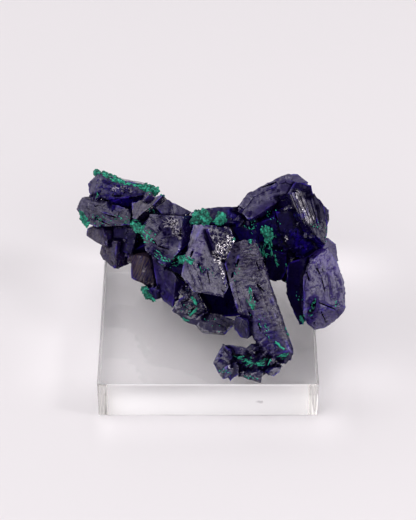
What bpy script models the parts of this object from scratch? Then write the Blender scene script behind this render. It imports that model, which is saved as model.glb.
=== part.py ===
"""Azurite and malachite specimen, resting on its square block of clear acrylic.

Every size below is in millimetres and becomes metres when a mesh is made. The origin is the middle of
the block's underside, +Z is up, +X is to the right and -Y is the side that the specimen shows best.
"""
import bmesh
import bpy
from math import cos, radians, sin
from mathutils import Matrix, Vector

MM = 0.001

# The acrylic block
BLOCK_WIDTH = 50.0
BLOCK_HEIGHT = 10.0
BLOCK_BEVEL = 0.3

# What pieces that touch keep between them
GAP = 0.3

# How finely a malachite ball is rounded
BALL_SEGMENTS = 12
BALL_RINGS = 8

# Colour, roughness, transmission and index of refraction of each material
FINISHES = {
    "clear_acrylic": ((0.93, 0.93, 0.94), 0.04, 1.0, 1.49),
    "azurite": ((0.012, 0.010, 0.075), 0.28, 0.0, 1.76),
    "malachite": ((0.010, 0.190, 0.110), 0.60, 0.0, 1.70),
}

# Each crystal: where its front face is, which way that faces, its outline, its depth and its other facets

MIDDLE_CRYSTALS = {
    "central_prism": dict(
        at=(-0.5, -3.5, 28), facing=(-5, 40), depth=9, back=0.8,
        outline=[(-3.5, 8.5), (2, 8.3), (3.8, 1), (5.5, -5.5), (4.5, -8), (-2.5, -7),
                 (-5.5, -3.5), (-5, 0)],
        bevels=[((-1.2, 8.5), (-5.5, -2), 30)]),
    "central_shoulder": dict(
        at=(3, -1, 32.5), facing=(35, 50), depth=8,
        outline=[(-2, 3.5), (3.5, 2), (3, -1.5), (-1, -5), (-2.5, -2)]),
    "dark_ridge": dict(
        at=(3, 7, 34.5), facing=(0, 60), depth=9,
        outline=[(-7, -0.5), (-3, 0.8), (5, 1), (5, -3), (-6, -3.5)]),
    "pitted_block": dict(
        at=(-11, 1.5, 29.5), facing=(-15, 40), depth=9,
        outline=[(-4.5, 1), (-3.5, 6), (4, 6.8), (5.8, 7.5), (7.5, 2.5), (6.3, 0.5), (4, -2.5),
                 (2, -5.5), (-3, -2.5)],
        bevels=[((4.7, 0.5), (4.2, 7.2), 55)]),
    "ridge_block": dict(
        at=(-8.5, 8.5, 34), facing=(10, 65), depth=8,
        outline=[(-3.5, 0.5), (-0.5, 2.3), (4.5, -1.5), (2, -3), (-1.5, -3)]),
    "brown_prism": dict(
        at=(-13.5, 3, 18.5), facing=(-10, 30), depth=8, lean=(0, 2),
        outline=[(-5.5, 3.5), (-1.5, 4), (2, 2.5), (6, 0), (5, -3), (3.5, -6.5), (1.5, -6),
                 (-2, -3), (-4.8, -2)],
        bevels=[((-1.2, 4), (-1.9, -1.5), 25), ((-1.9, -1.5), (-1.2, 4), 20),
                ((-2, -1.5), (2.8, -3.2), 40)]),
    "pointed_wedge": dict(
        at=(-8.5, -1.5, 18), facing=(5, 25), depth=7,
        outline=[(-4.5, 8), (-3, 7.5), (4, 0), (2.5, -2), (0.2, -4.8), (-3, -3)],
        bevels=[((1.2, 2.4), (0.2, -4.3), 35), ((0.2, -4.3), (1.2, 2.4), 40)]),
    "small_tooth": dict(
        at=(-12.5, -0.5, 15), facing=(-5, 30), depth=4,
        outline=[(-2, 1.5), (1, 2), (1.8, -0.8), (0, -1.2)]),
    "front_leg": dict(
        at=(10.5, -12.5, 24), facing=(5, 38), depth=8,
        outline=[(-4.5, 13.5), (-1.5, 14), (1.5, 13), (2, 11), (8.5, -11.5), (8, -14.5), (6, -15.5),
                 (3, -13.5), (-0.5, -9), (-4, -2), (-6.5, 9)],
        bevels=[((-2, 14), (-5.3, 3.5), 35), ((7.7, -13), (1.3, 11), 40), ((2, -12.5), (9, -11.5), 35)]),
    "leg_knee": dict(
        at=(7, -16.5, 19.5), facing=(-40, 20), depth=5,
        outline=[(-2, 0.5), (-1.5, 2.5), (1, 2.5), (3, -1.5), (1, -2), (-1, -1)]),
    "low_chunk": dict(
        at=(-2, -7, 15), facing=(-10, 30), depth=7,
        outline=[(-6.5, 0), (-5, 3), (-1.5, 5.5), (2, 0.5), (1, -3), (-2.5, -2.5)]),
    "low_ledge": dict(
        at=(2, -8.5, 13.5), facing=(0, 50), depth=5,
        outline=[(-5, -0.5), (-2, 2.5), (1, 2), (5, 0.5), (2, -2.5), (-3.5, -2)]),
    "cavity_wall": dict(
        at=(4, -1, 16), facing=(5, 15), depth=9,
        outline=[(-7, 4), (-5, -6), (6, -6), (8, 5), (0, 6)]),
    "heart": dict(
        at=(0, 5, 28), facing=(0, 30), depth=12,
        outline=[(-12, -6), (-11, 3), (-5, 5), (8, 5), (12, 0), (8, -9), (-4, -10)]),
}

LEFT_CRYSTALS = {
    "upper_block": dict(
        at=(-19.5, 18, 32), facing=(-8, 35), depth=7, back=0.9,
        outline=[(-9.8, 0.3), (-9, -2.2), (-4, -3), (1.5, -2), (6.5, -0.5), (4, 1.5), (-1.5, 2),
                 (-6.5, 3.5)],
        bevels=[((-6.5, 3.5), (-7, -2.5), 50)]),
    "lower_block": dict(
        at=(-24.5, 14.5, 27.5), facing=(-12, 40), depth=7,
        outline=[(-7, 1), (-6, 3), (-3, 3.5), (6.5, 1.5), (6.5, -2), (-1, -3.5), (-3.5, -3),
                 (-7, 0)],
        bevels=[((-5, 3.2), (-6, -1.2), 35)]),
    "blue_recess": dict(
        at=(-18.5, 17.5, 27.5), facing=(30, 15), depth=7,
        outline=[(-5, 2), (-4, -4), (5, -4), (6, 1), (2, 3.5)]),
    "side_wedge": dict(
        at=(-24.5, 11.5, 23), facing=(-10, 30), depth=7,
        outline=[(-4.8, 1), (-3, 2), (5, 2.5), (3.5, -1.5), (1, -2.5), (-1, -2.5), (-4.8, -1)],
        bevels=[((-0.5, 2.2), (1, -2.5), 25), ((1, -2.5), (-0.5, 2.2), 45)]),
    "lower_wedge": dict(
        at=(-22, 9, 18.5), facing=(-5, 20), depth=6,
        outline=[(-4, 0), (-3, -1.5), (1, -3.5), (3.5, -3), (3.5, 1), (1.5, 4), (-0.5, 4), (-3.5, 2.5)],
        bevels=[((0.5, 4), (0, -3.5), 25), ((0, -3.5), (0.5, 4), 45)]),
    "striped_prism": dict(
        at=(-18, 8, 24.5), facing=(-20, 30), depth=6,
        outline=[(-1.5, 1), (-0.5, 3), (1, 3), (1, -0.5), (0.5, -3.5), (-1, -2)]),
    "roof_facet": dict(
        at=(-14, 12, 32), facing=(-25, 50), depth=7,
        outline=[(-4, -0.5), (3, 3.5), (1.5, 0.5), (-0.5, -2), (-1.5, -4), (-2.5, -4)]),
    "left_core": dict(
        at=(-17, 12, 24), facing=(-10, 25), depth=9,
        outline=[(-6, 4), (-5, -5), (4, -7), (8, 4), (3, 6)]),
}

RIGHT_CRYSTALS = {
    "long_tablet": dict(
        at=(13, 7, 37.5), facing=(-20, 60), depth=9,
        outline=[(-5.5, -3.5), (-4.5, 0.5), (0, 5), (3, 7.5), (5.5, 8), (8.5, 6.5), (1.5, -1.5),
                 (-1.5, -5), (-2.5, -5.5)]),
    "summit_block": dict(
        at=(21, 7.5, 41), facing=(25, 65), depth=10,
        outline=[(-4, -1), (-0.5, 1.8), (2.7, -0.5), (2.2, -3), (-2, -3)]),
    "glossy_block": dict(
        at=(23, 2.5, 36.5), facing=(50, 35), depth=10,
        outline=[(-1.5, 7), (-2, 1.5), (-1, -4), (0.5, -8), (3.5, -5), (5.5, 0), (4.5, 3.5), (2.5, 5)]),
    "blue_hollow": dict(
        at=(21, 2.5, 32), facing=(5, 15), depth=9,
        outline=[(-5.5, 5), (0.5, 5.5), (6, -3.5), (4.5, -6.5), (2, -7.8), (-2, -6), (-4.5, 0)]),
    "dark_bridge": dict(
        at=(9, 4.5, 31.5), facing=(-15, 25), depth=10,
        outline=[(-4.5, 3), (-2.5, 4), (1, 4), (3.5, 0.5), (4, -3.5), (-1.5, -3.5), (-4.5, 0.5)]),
    "spray_block": dict(
        at=(14, 2, 28.5), facing=(-5, 15), depth=10,
        outline=[(-3, 5), (1, 7), (4, 3), (5.5, -2.5), (4.5, -5.5), (0, -5), (-3, -3)]),
    "dark_underside": dict(
        at=(15.5, -0.5, 22.5), facing=(-5, 5), depth=7,
        outline=[(-2.5, 6), (2.5, 5), (2.5, 0), (1.5, -2.5), (-0.5, -3), (-2, -0.5)]),
    "dark_blade": dict(
        at=(20, -6, 19.5), facing=(-30, 10), depth=5,
        outline=[(-3, 8), (1, 11), (2.5, -1.5), (3, -6.5), (2, -7), (-0.5, -3.5), (-2.5, 0)]),
    "pendant": dict(
        at=(26.5, -7, 22.5), facing=(15, 30), depth=7, back=0.7, lean=(-1, 2.5),
        outline=[(2, 9.5), (4, 5.5), (5, 1), (5, -1.5), (4.4, -6.4), (2.7, -10), (0.2, -12),
                 (-2.5, -12.4), (-4.5, -9.5), (-5.5, -5), (-4.5, 4), (-3.5, 6.5)],
        bevels=[((-3, -4), (4.5, -5), 30)]),
    "pendant_back": dict(
        at=(29, 5, 24), facing=(40, 35), depth=7,
        outline=[(-4, 4), (0, 3.5), (1.5, 1), (0.5, -3), (-4, -4)]),
    "right_sliver": dict(
        at=(27, 6, 34.5), facing=(60, 30), depth=6,
        outline=[(0.5, 2.5), (1.5, 0), (0, -2), (-3, -3), (-3, 3)]),
}

FOOT_CRYSTALS = {
    "foot_left": dict(
        at=(3.5, -21.5, 13.5), facing=(-30, 35), depth=4,
        outline=[(-2.5, -1), (-2, 1.5), (-1.5, 4), (1, 3), (2, 0), (1.5, -2.5), (-0.5, -3)]),
    "foot_middle": dict(
        at=(5.5, -23, 12.5), facing=(0, 30), depth=4,
        outline=[(-1.5, -1), (0, 2), (1.5, 1), (1.5, -1), (-0.5, -2.5)]),
    "foot_top": dict(
        at=(10, -19.5, 15.5), facing=(5, 50), depth=4,
        outline=[(-1.5, 0.5), (0, 1.5), (1.5, 1.5), (1.5, 0), (0.5, -1), (-1.5, -1)]),
    "foot_ridge": dict(
        at=(7, -19.5, 15.5), facing=(-10, 50), depth=4,
        outline=[(-4, 0.9), (-1.8, 1), (1.5, 0.8), (2, -1), (-1.5, -1)]),
    "foot_right": dict(
        at=(10, -24, 11.5), facing=(5, 30), depth=4,
        outline=[(-3, 0.5), (-1, 1), (2.5, 1), (2, -1.5), (-1.5, -0.5)]),
    "foot_tip": dict(
        at=(15, -23.5, 12.5), facing=(25, 30), depth=4,
        outline=[(-1.5, 0.5), (0, 1), (2, 0.5), (1, -0.5), (-0.5, -1), (-2, 0)]),
    "foot_core": dict(
        at=(9.5, -21, 12.5), facing=(0, 40), depth=4,
        outline=[(-4, 2.5), (2.5, 2.5), (7.5, -0.5), (3, -2.5), (-2.5, -3), (-4, -0.5)]),
}

BACK_CRYSTALS = {
    "rear_left_blade": dict(
        at=(-23, 24, 25), facing=(200, 15), depth=10,
        outline=[(-5, -4), (4, -5), (6, 2), (1, 4.5), (-6, 3)],
        bevels=[((0.5, 4.5), (-0.5, -5), 25), ((-0.5, -5), (0.5, 4.5), 35)]),
    "rear_left_low": dict(
        at=(-14, 18, 18), facing=(190, -5), depth=9,
        outline=[(-5, -5), (3, -7), (6, 3), (-2, 6)],
        bevels=[((1, 6), (-1, -6), 30)]),
    "rear_left_wedge": dict(
        at=(-16, 23, 23), facing=(175, 20), depth=9,
        outline=[(-2.5, -5.5), (1.5, -6), (3.5, 0), (2, 5), (-2, 5.5), (-3.5, 0)],
        bevels=[((0.5, 5.5), (-0.5, -6), 35), ((-0.5, -6), (0.5, 5.5), 40)]),
    "rear_left_small": dict(
        at=(-9, 19.5, 15.5), facing=(195, 5), depth=7,
        outline=[(-3, -4), (2, -4.5), (4, 1), (0, 4), (-3.5, 2)],
        bevels=[((-3.5, 1), (3.8, 0), 25)]),
    "rear_middle": dict(
        at=(-3, 17, 20), facing=(178, 25), depth=12,
        outline=[(-7, -7), (4, -9), (8, 2), (0, 7), (-6, 5)],
        bevels=[((3, 7), (1, -9), 20)]),
    "rear_middle_wedge": dict(
        at=(3, 19.5, 18), facing=(165, 15), depth=9,
        outline=[(-3, -6), (1, -7.5), (3.5, -1), (2.5, 5), (-1, 6.5), (-3.5, 1)],
        bevels=[((0.5, 6.5), (-1, -7), 30), ((-1, -7), (0.5, 6.5), 40)]),
    "rear_right": dict(
        at=(9, 17, 23.5), facing=(168, 20), depth=11,
        outline=[(-6, -8), (5, -7), (7, 4), (-4, 6)],
        bevels=[((-5, -2), (6, -1), 25)]),
    "rear_right_high": dict(
        at=(19, 15, 32), facing=(160, 30), depth=10,
        outline=[(-6, -5), (4, -7), (6, 3), (-2, 6)],
        bevels=[((1, 6), (2, -7), 25)]),
    "rear_right_prism": dict(
        at=(15, 18, 27), facing=(150, 20), depth=9,
        outline=[(-2.5, -7), (2, -8), (3, 1), (1.5, 6), (-2, 6.5), (-3, 0)],
        bevels=[((0, 6.5), (0, -8), 35), ((0, -8), (0, 6.5), 30)]),
    "rear_right_low": dict(
        at=(21, 10, 23), facing=(140, 0), depth=9,
        outline=[(-5, -6), (3, -7), (5, 5), (-4, 5)],
        bevels=[((-5, 1), (5, 0), 20)]),
    "rear_right_small": dict(
        at=(17, 14, 16.5), facing=(155, -10), depth=7,
        outline=[(-3, -5), (2, -5.5), (3.5, 1), (0, 5), (-3, 2)],
        bevels=[((0, 5), (-0.5, -5.5), 30)]),
    "rear_left_leg": dict(
        at=(-8, 8, 18), facing=(-20, -10), depth=6,
        outline=[(-3, 8), (3, 8), (2.5, -5), (0, -8), (-2.5, -6)]),
    "rear_right_leg": dict(
        at=(12, 9, 18), facing=(15, -8), depth=6,
        outline=[(-3, 8), (3, 8), (2.5, -5), (0.5, -8), (-2.5, -6)]),
    "left_underside": dict(
        at=(-20, 14, 16.5), facing=(-40, -35), depth=6,
        outline=[(-4, -2), (1, -4), (4, 0), (2, 4), (-3, 3)],
        bevels=[((1, 4), (0, -4), 30)]),
    "right_underside": dict(
        at=(22, 4, 19), facing=(35, -30), depth=7,
        outline=[(-3.5, -3), (2, -4), (4, 1), (1, 5), (-4, 3)],
        bevels=[((0, 5), (0.5, -4), 30)]),
}

# Each malachite growth: the middle and radius of every ball that runs together in it

MALACHITE_GROWTHS = {
    "malachite_top_crust": [
        ((-26.2, 22.3, 33.6), 1.2), ((-24.8, 22.0, 33.4), 1.1), ((-23.3, 21.3, 33.2), 1.2),
        ((-21.9, 20.7, 33.0), 1.1), ((-20.5, 20.1, 32.6), 1.0), ((-19.3, 19.5, 32.5), 0.9)],
    "malachite_shoulder_crust": [
        ((-14.5, 17.7, 32.7), 1.1), ((-13.3, 16.7, 33.0), 1.3), ((-12.2, 15.6, 33.2), 1.1)],
    "malachite_side_crust": [
        ((-29.9, 15.1, 26.8), 1.1), ((-29.4, 14.4, 25.9), 1.2), ((-28.7, 13.6, 24.9), 1.1)],
    "malachite_left_tuft": [
        ((-17.0, 9.4, 28.0), 1.0), ((-15.8, 7.4, 28.6), 1.3), ((-14.5, 4.9, 29.6), 1.2)],
    "malachite_seam_tuft": [
        ((-5.8, -1.4, 26.9), 1.2), ((-4.6, -2.4, 26.7), 1.1)],
    "malachite_under_crust": [
        ((-15.0, 1.7, 14.5), 1.3), ((-14.1, 0.9, 13.6), 1.4), ((-13.0, 0.4, 13.1), 1.1)],
    "malachite_large_ball": [
        ((-1.4, 4.7, 34.7), 2.0), ((-0.6, 3.1, 34.5), 1.4), ((-2.7, 4.0, 33.8), 1.4)],
    "malachite_small_ball": [
        ((2.8, 3.6, 34.8), 1.5)],
    "malachite_spray": [
        ((13.4, 2.4, 32.2), 1.3), ((14.0, 1.7, 31.3), 1.3), ((13.3, 1.3, 30.1), 1.2)],
}


def clear_scene():
    for thing in list(bpy.data.objects):
        bpy.data.objects.remove(thing, do_unlink=True)


def make_collection(name):
    collection = bpy.data.collections.new(name)
    bpy.context.scene.collection.children.link(collection)
    return collection


def finish(name, label):
    """A Principled material of one of the finishes above."""
    colour, roughness, transmission, index = FINISHES[name]
    material = bpy.data.materials.new(label)
    material.use_nodes = True
    shader = material.node_tree.nodes["Principled BSDF"]
    shader.inputs["Base Color"].default_value = (*colour, 1.0)
    shader.inputs["Metallic"].default_value = 0.0
    shader.inputs["Roughness"].default_value = roughness
    shader.inputs["Transmission Weight"].default_value = transmission
    shader.inputs["IOR"].default_value = index
    material.diffuse_color = (*colour, 1.0)
    return material


def to_object(mesh_data, name, collection):
    """An object made of a bmesh in millimetres."""
    mesh = bpy.data.meshes.new(name)
    bmesh.ops.scale(mesh_data, vec=(MM, MM, MM), verts=mesh_data.verts)
    mesh_data.to_mesh(mesh)
    mesh_data.free()
    thing = bpy.data.objects.new(name, mesh)
    collection.objects.link(thing)
    return thing


def face_axes(facing):
    """Right, up and outward directions of a face seen straight on.

    Facing is its compass bearing and its tilt: bearing 0 faces -Y and 90 faces +X, tilt 90 faces up.
    """
    bearing, tilt = radians(facing[0]), radians(facing[1])
    outward = Vector((sin(bearing) * cos(tilt), -cos(bearing) * cos(tilt), sin(tilt)))
    right = Vector((cos(bearing), sin(bearing), 0.0))
    return Matrix((right, outward.cross(right), outward)).transposed()


def cut_plane(mesh_data, point, normal):
    """Takes away what lies beyond a plane, and closes the cut."""
    everything = mesh_data.verts[:] + mesh_data.edges[:] + mesh_data.faces[:]
    bmesh.ops.bisect_plane(
        mesh_data, geom=everything, dist=0.001, plane_co=point, plane_no=normal, clear_outer=True)
    rim = [edge for edge in mesh_data.edges if edge.is_boundary]
    if rim:
        bmesh.ops.contextual_create(mesh_data, geom=rim)


def grow_mesh(mesh_data, margin):
    """Makes a convex body larger by about a margin all round."""
    middle = sum((vert.co for vert in mesh_data.verts), Vector()) / len(mesh_data.verts)
    reach = min(abs(face.normal.dot(face.verts[0].co - middle)) for face in mesh_data.faces)
    bmesh.ops.translate(mesh_data, vec=-middle, verts=mesh_data.verts)
    bmesh.ops.scale(mesh_data, vec=(1 + margin / reach,) * 3, verts=mesh_data.verts)
    bmesh.ops.translate(mesh_data, vec=middle, verts=mesh_data.verts)


def crystal_mesh(at, facing, outline, depth, back=0.85, lean=(0.0, 0.0), bevels=(), margin=0.0):
    """One crystal: a flat front face of that outline, which reaches back through its depth.

    Back is the size of the far end against the front, and lean is how far it is shifted right and up.
    Each bevel is a line across the front face, from one point to another, and the tilt of the facet
    that falls away on the right of it. Nothing reaches lower than just above the block.
    """
    crystal = bmesh.new()
    front = crystal.faces.new([crystal.verts.new((a, b, 0.0)) for a, b in outline])
    centre = front.calc_center_median()
    made = bmesh.ops.extrude_face_region(crystal, geom=[front], use_keep_orig=True)
    far = [item for item in made["geom"] if isinstance(item, bmesh.types.BMVert)]
    for vert in far:
        vert.co = centre + (vert.co - centre) * back + Vector((*lean, -depth))
    bmesh.ops.recalc_face_normals(crystal, faces=crystal.faces)
    for start, end, tilt in bevels:
        along = Vector((end[0] - start[0], end[1] - start[1], 0.0)).normalized()
        normal = Vector((along.y, -along.x, 0.0)) * sin(radians(tilt))
        normal.z = cos(radians(tilt))
        cut_plane(crystal, Vector((start[0], start[1], 0.0)), normal)
    if margin:
        crystal.normal_update()
        grow_mesh(crystal, margin)
    place = Matrix.Translation(Vector(at)) @ face_axes(facing).to_4x4()
    bmesh.ops.transform(crystal, matrix=place, verts=crystal.verts)
    cut_plane(crystal, Vector((0.0, 0.0, BLOCK_HEIGHT + GAP)), Vector((0.0, 0.0, -1.0)))
    return crystal


def crystals():
    """Every crystal's name and sizes."""
    groups = (MIDDLE_CRYSTALS, LEFT_CRYSTALS, RIGHT_CRYSTALS, FOOT_CRYSTALS, BACK_CRYSTALS)
    return {name: sizes for group in groups for name, sizes in group.items()}


def ball_mesh(middle, radius):
    ball = bmesh.new()
    bmesh.ops.create_uvsphere(ball, u_segments=BALL_SEGMENTS, v_segments=BALL_RINGS, radius=radius)
    bmesh.ops.translate(ball, vec=middle, verts=ball.verts)
    return ball


def boolean(thing, other, operation):
    """Changes an object's mesh by another object, or by a collection of them."""
    modifier = thing.modifiers.new(operation.title(), "BOOLEAN")
    modifier.operation = operation
    modifier.solver = "EXACT"
    if isinstance(other, bpy.types.Collection):
        modifier.operand_type = "COLLECTION"
        modifier.collection = other
    else:
        modifier.object = other
    graph = bpy.context.evaluated_depsgraph_get()
    graph.update()
    result = bpy.data.meshes.new_from_object(thing.evaluated_get(graph))
    thing.modifiers.remove(modifier)
    thing.data = result


def keep_largest(mesh):
    """Leaves only the largest of a mesh's separate bodies."""
    data = bmesh.new()
    data.from_mesh(mesh)
    bodies, left = [], set(data.verts)
    while left:
        body, waiting = set(), [left.pop()]
        while waiting:
            vert = waiting.pop()
            body.add(vert)
            near = {edge.other_vert(vert) for edge in vert.link_edges} & left
            left -= near
            waiting.extend(near)
        bodies.append(body)
    bodies.sort(key=len)
    for body in bodies[:-1]:
        bmesh.ops.delete(data, geom=list(body), context="VERTS")
    data.to_mesh(mesh)
    data.free()


def joined(name, meshes, collection):
    """One closed body from meshes that run into each other."""
    helpers = make_collection(name + "_parts")
    body, *others = [to_object(mesh_data, name, helpers) for mesh_data in meshes]
    helpers.objects.unlink(body)
    collection.objects.link(body)
    if others:
        boolean(body, helpers, "UNION")
    for helper in others:
        bpy.data.objects.remove(helper, do_unlink=True)
    bpy.data.collections.remove(helpers)
    return body


def acrylic_block(collection):
    """The clear square block, with its edges just eased."""
    block = bmesh.new()
    bmesh.ops.create_cube(block, size=1.0)
    bmesh.ops.scale(block, vec=(BLOCK_WIDTH, BLOCK_WIDTH, BLOCK_HEIGHT), verts=block.verts)
    bmesh.ops.translate(block, vec=(0.0, 0.0, BLOCK_HEIGHT / 2), verts=block.verts)
    thing = to_object(block, "acrylic_base", collection)
    bevel = thing.modifiers.new("Eased edges", "BEVEL")
    bevel.width = BLOCK_BEVEL * MM
    bevel.segments = 2
    thing.data.materials.append(finish("clear_acrylic", "Clear acrylic"))
    return thing


def azurite_cluster(collection):
    """All the blue crystals, grown together into one body."""
    meshes = [crystal_mesh(**sizes) for sizes in crystals().values()]
    cluster = joined("azurite_cluster", meshes, collection)
    cluster.data.materials.clear()
    cluster.data.materials.append(finish("azurite", "Azurite"))
    return cluster


def malachite_growths(collection):
    """The green crusts, balls and tufts, each fitted against the blue crystals."""
    meshes = [crystal_mesh(**sizes, margin=GAP) for sizes in crystals().values()]
    seat = joined("seat", meshes, collection)
    for name, balls in MALACHITE_GROWTHS.items():
        growth = joined(name, [ball_mesh(*ball) for ball in balls], collection)
        boolean(growth, seat, "DIFFERENCE")
        keep_largest(growth.data)
        growth.data.materials.clear()
        growth.data.materials.append(finish("malachite", "Malachite of " + name))
    bpy.data.objects.remove(seat, do_unlink=True)


def main():
    clear_scene()
    collection = make_collection("azurite_and_malachite_specimen")
    acrylic_block(collection)
    azurite_cluster(collection)
    malachite_growths(collection)


if __name__ == "__main__":
    main()
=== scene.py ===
"""Looks of the azurite and malachite specimen on its clear block.

Lengths are in millimetres until a mesh is finished, and then in metres, in the frame's own axes. The
crystals repeat the sizes that the solid model has, and each facet is then meshed finely and given relief.
"""
from itertools import product
from math import cos, pi, radians, sin

import bmesh
import bpy
import numpy as np
from mathutils import Matrix, Vector
from mathutils.bvhtree import BVHTree
from mathutils.geometry import delaunay_2d_cdt
from mathutils.kdtree import KDTree


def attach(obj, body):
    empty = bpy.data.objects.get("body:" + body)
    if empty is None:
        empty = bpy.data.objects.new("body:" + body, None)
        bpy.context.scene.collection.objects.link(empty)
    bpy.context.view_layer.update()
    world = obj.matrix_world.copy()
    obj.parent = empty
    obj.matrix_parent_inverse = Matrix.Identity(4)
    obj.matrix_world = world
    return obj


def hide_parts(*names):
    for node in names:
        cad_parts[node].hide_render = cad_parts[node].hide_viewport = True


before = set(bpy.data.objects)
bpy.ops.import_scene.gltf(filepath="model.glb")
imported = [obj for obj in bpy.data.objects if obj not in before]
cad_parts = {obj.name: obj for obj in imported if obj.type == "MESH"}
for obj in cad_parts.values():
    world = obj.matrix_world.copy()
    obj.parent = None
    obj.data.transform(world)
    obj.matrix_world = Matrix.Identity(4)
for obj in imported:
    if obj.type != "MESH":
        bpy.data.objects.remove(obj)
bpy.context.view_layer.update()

MM = 0.001

# The camera, fitted to the block's edges
CAMERA_PLACE = (0.0, -336.7, 317.1)
CAMERA_PITCH = 40.9
FOCAL_PIXELS = 1938.0
PHOTO_WIDTH = 416
PHOTO_HEIGHT = 520
SENSOR_MM = 36.0

# The block's width and top face, and the height at which the crystals that stand on it are cut
BLOCK_WIDTH = 50.0
BLOCK_TOP = 10.0
CRYSTAL_FLOOR = 10.3

# Each crystal: where its front face is, which way that faces, its outline, its depth and its other facets

MIDDLE_CRYSTALS = {
    "central_prism": dict(
        at=(-0.5, -3.5, 28), facing=(-5, 40), depth=9, back=0.8,
        outline=[(-3.5, 8.5), (2, 8.3), (3.8, 1), (5.5, -5.5), (4.5, -8), (-2.5, -7),
                 (-5.5, -3.5), (-5, 0)],
        bevels=[((-1.2, 8.5), (-5.5, -2), 30)]),
    "central_shoulder": dict(
        at=(3, -1, 32.5), facing=(35, 50), depth=8,
        outline=[(-2, 3.5), (3.5, 2), (3, -1.5), (-1, -5), (-2.5, -2)]),
    "dark_ridge": dict(
        at=(3, 7, 34.5), facing=(0, 60), depth=9,
        outline=[(-7, -0.5), (-3, 0.8), (5, 1), (5, -3), (-6, -3.5)]),
    "pitted_block": dict(
        at=(-11, 1.5, 29.5), facing=(-15, 40), depth=9,
        outline=[(-4.5, 1), (-3.5, 6), (4, 6.8), (5.8, 7.5), (7.5, 2.5), (6.3, 0.5), (4, -2.5),
                 (2, -5.5), (-3, -2.5)],
        bevels=[((4.7, 0.5), (4.2, 7.2), 55)]),
    "ridge_block": dict(
        at=(-8.5, 8.5, 34), facing=(10, 65), depth=8,
        outline=[(-3.5, 0.5), (-0.5, 2.3), (4.5, -1.5), (2, -3), (-1.5, -3)]),
    "brown_prism": dict(
        at=(-13.5, 3, 18.5), facing=(-10, 30), depth=8, lean=(0, 2),
        outline=[(-5.5, 3.5), (-1.5, 4), (2, 2.5), (6, 0), (5, -3), (3.5, -6.5), (1.5, -6),
                 (-2, -3), (-4.8, -2)],
        bevels=[((-1.2, 4), (-1.9, -1.5), 25), ((-1.9, -1.5), (-1.2, 4), 20),
                ((-2, -1.5), (2.8, -3.2), 40)]),
    "pointed_wedge": dict(
        at=(-8.5, -1.5, 18), facing=(5, 25), depth=7,
        outline=[(-4.5, 8), (-3, 7.5), (4, 0), (2.5, -2), (0.2, -4.8), (-3, -3)],
        bevels=[((1.2, 2.4), (0.2, -4.3), 35), ((0.2, -4.3), (1.2, 2.4), 40)]),
    "small_tooth": dict(
        at=(-12.5, -0.5, 15), facing=(-5, 30), depth=4,
        outline=[(-2, 1.5), (1, 2), (1.8, -0.8), (0, -1.2)]),
    "front_leg": dict(
        at=(10.5, -12.5, 24), facing=(5, 38), depth=8,
        outline=[(-4.5, 13.5), (-1.5, 14), (1.5, 13), (2, 11), (8.5, -11.5), (8, -14.5), (6, -15.5),
                 (3, -13.5), (-0.5, -9), (-4, -2), (-6.5, 9)],
        bevels=[((-2, 14), (-5.3, 3.5), 35), ((7.7, -13), (1.3, 11), 40), ((2, -12.5), (9, -11.5), 35)]),
    "leg_knee": dict(
        at=(7, -16.5, 19.5), facing=(-40, 20), depth=5,
        outline=[(-2, 0.5), (-1.5, 2.5), (1, 2.5), (3, -1.5), (1, -2), (-1, -1)]),
    "low_chunk": dict(
        at=(-2, -7, 15), facing=(-10, 30), depth=7,
        outline=[(-6.5, 0), (-5, 3), (-1.5, 5.5), (2, 0.5), (1, -3), (-2.5, -2.5)]),
    "low_ledge": dict(
        at=(2, -8.5, 13.5), facing=(0, 50), depth=5,
        outline=[(-5, -0.5), (-2, 2.5), (1, 2), (5, 0.5), (2, -2.5), (-3.5, -2)]),
    "cavity_wall": dict(
        at=(4, -1, 16), facing=(5, 15), depth=9,
        outline=[(-7, 4), (-5, -6), (6, -6), (8, 5), (0, 6)]),
    "heart": dict(
        at=(0, 5, 28), facing=(0, 30), depth=12,
        outline=[(-12, -6), (-11, 3), (-5, 5), (8, 5), (12, 0), (8, -9), (-4, -10)]),
}

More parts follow.
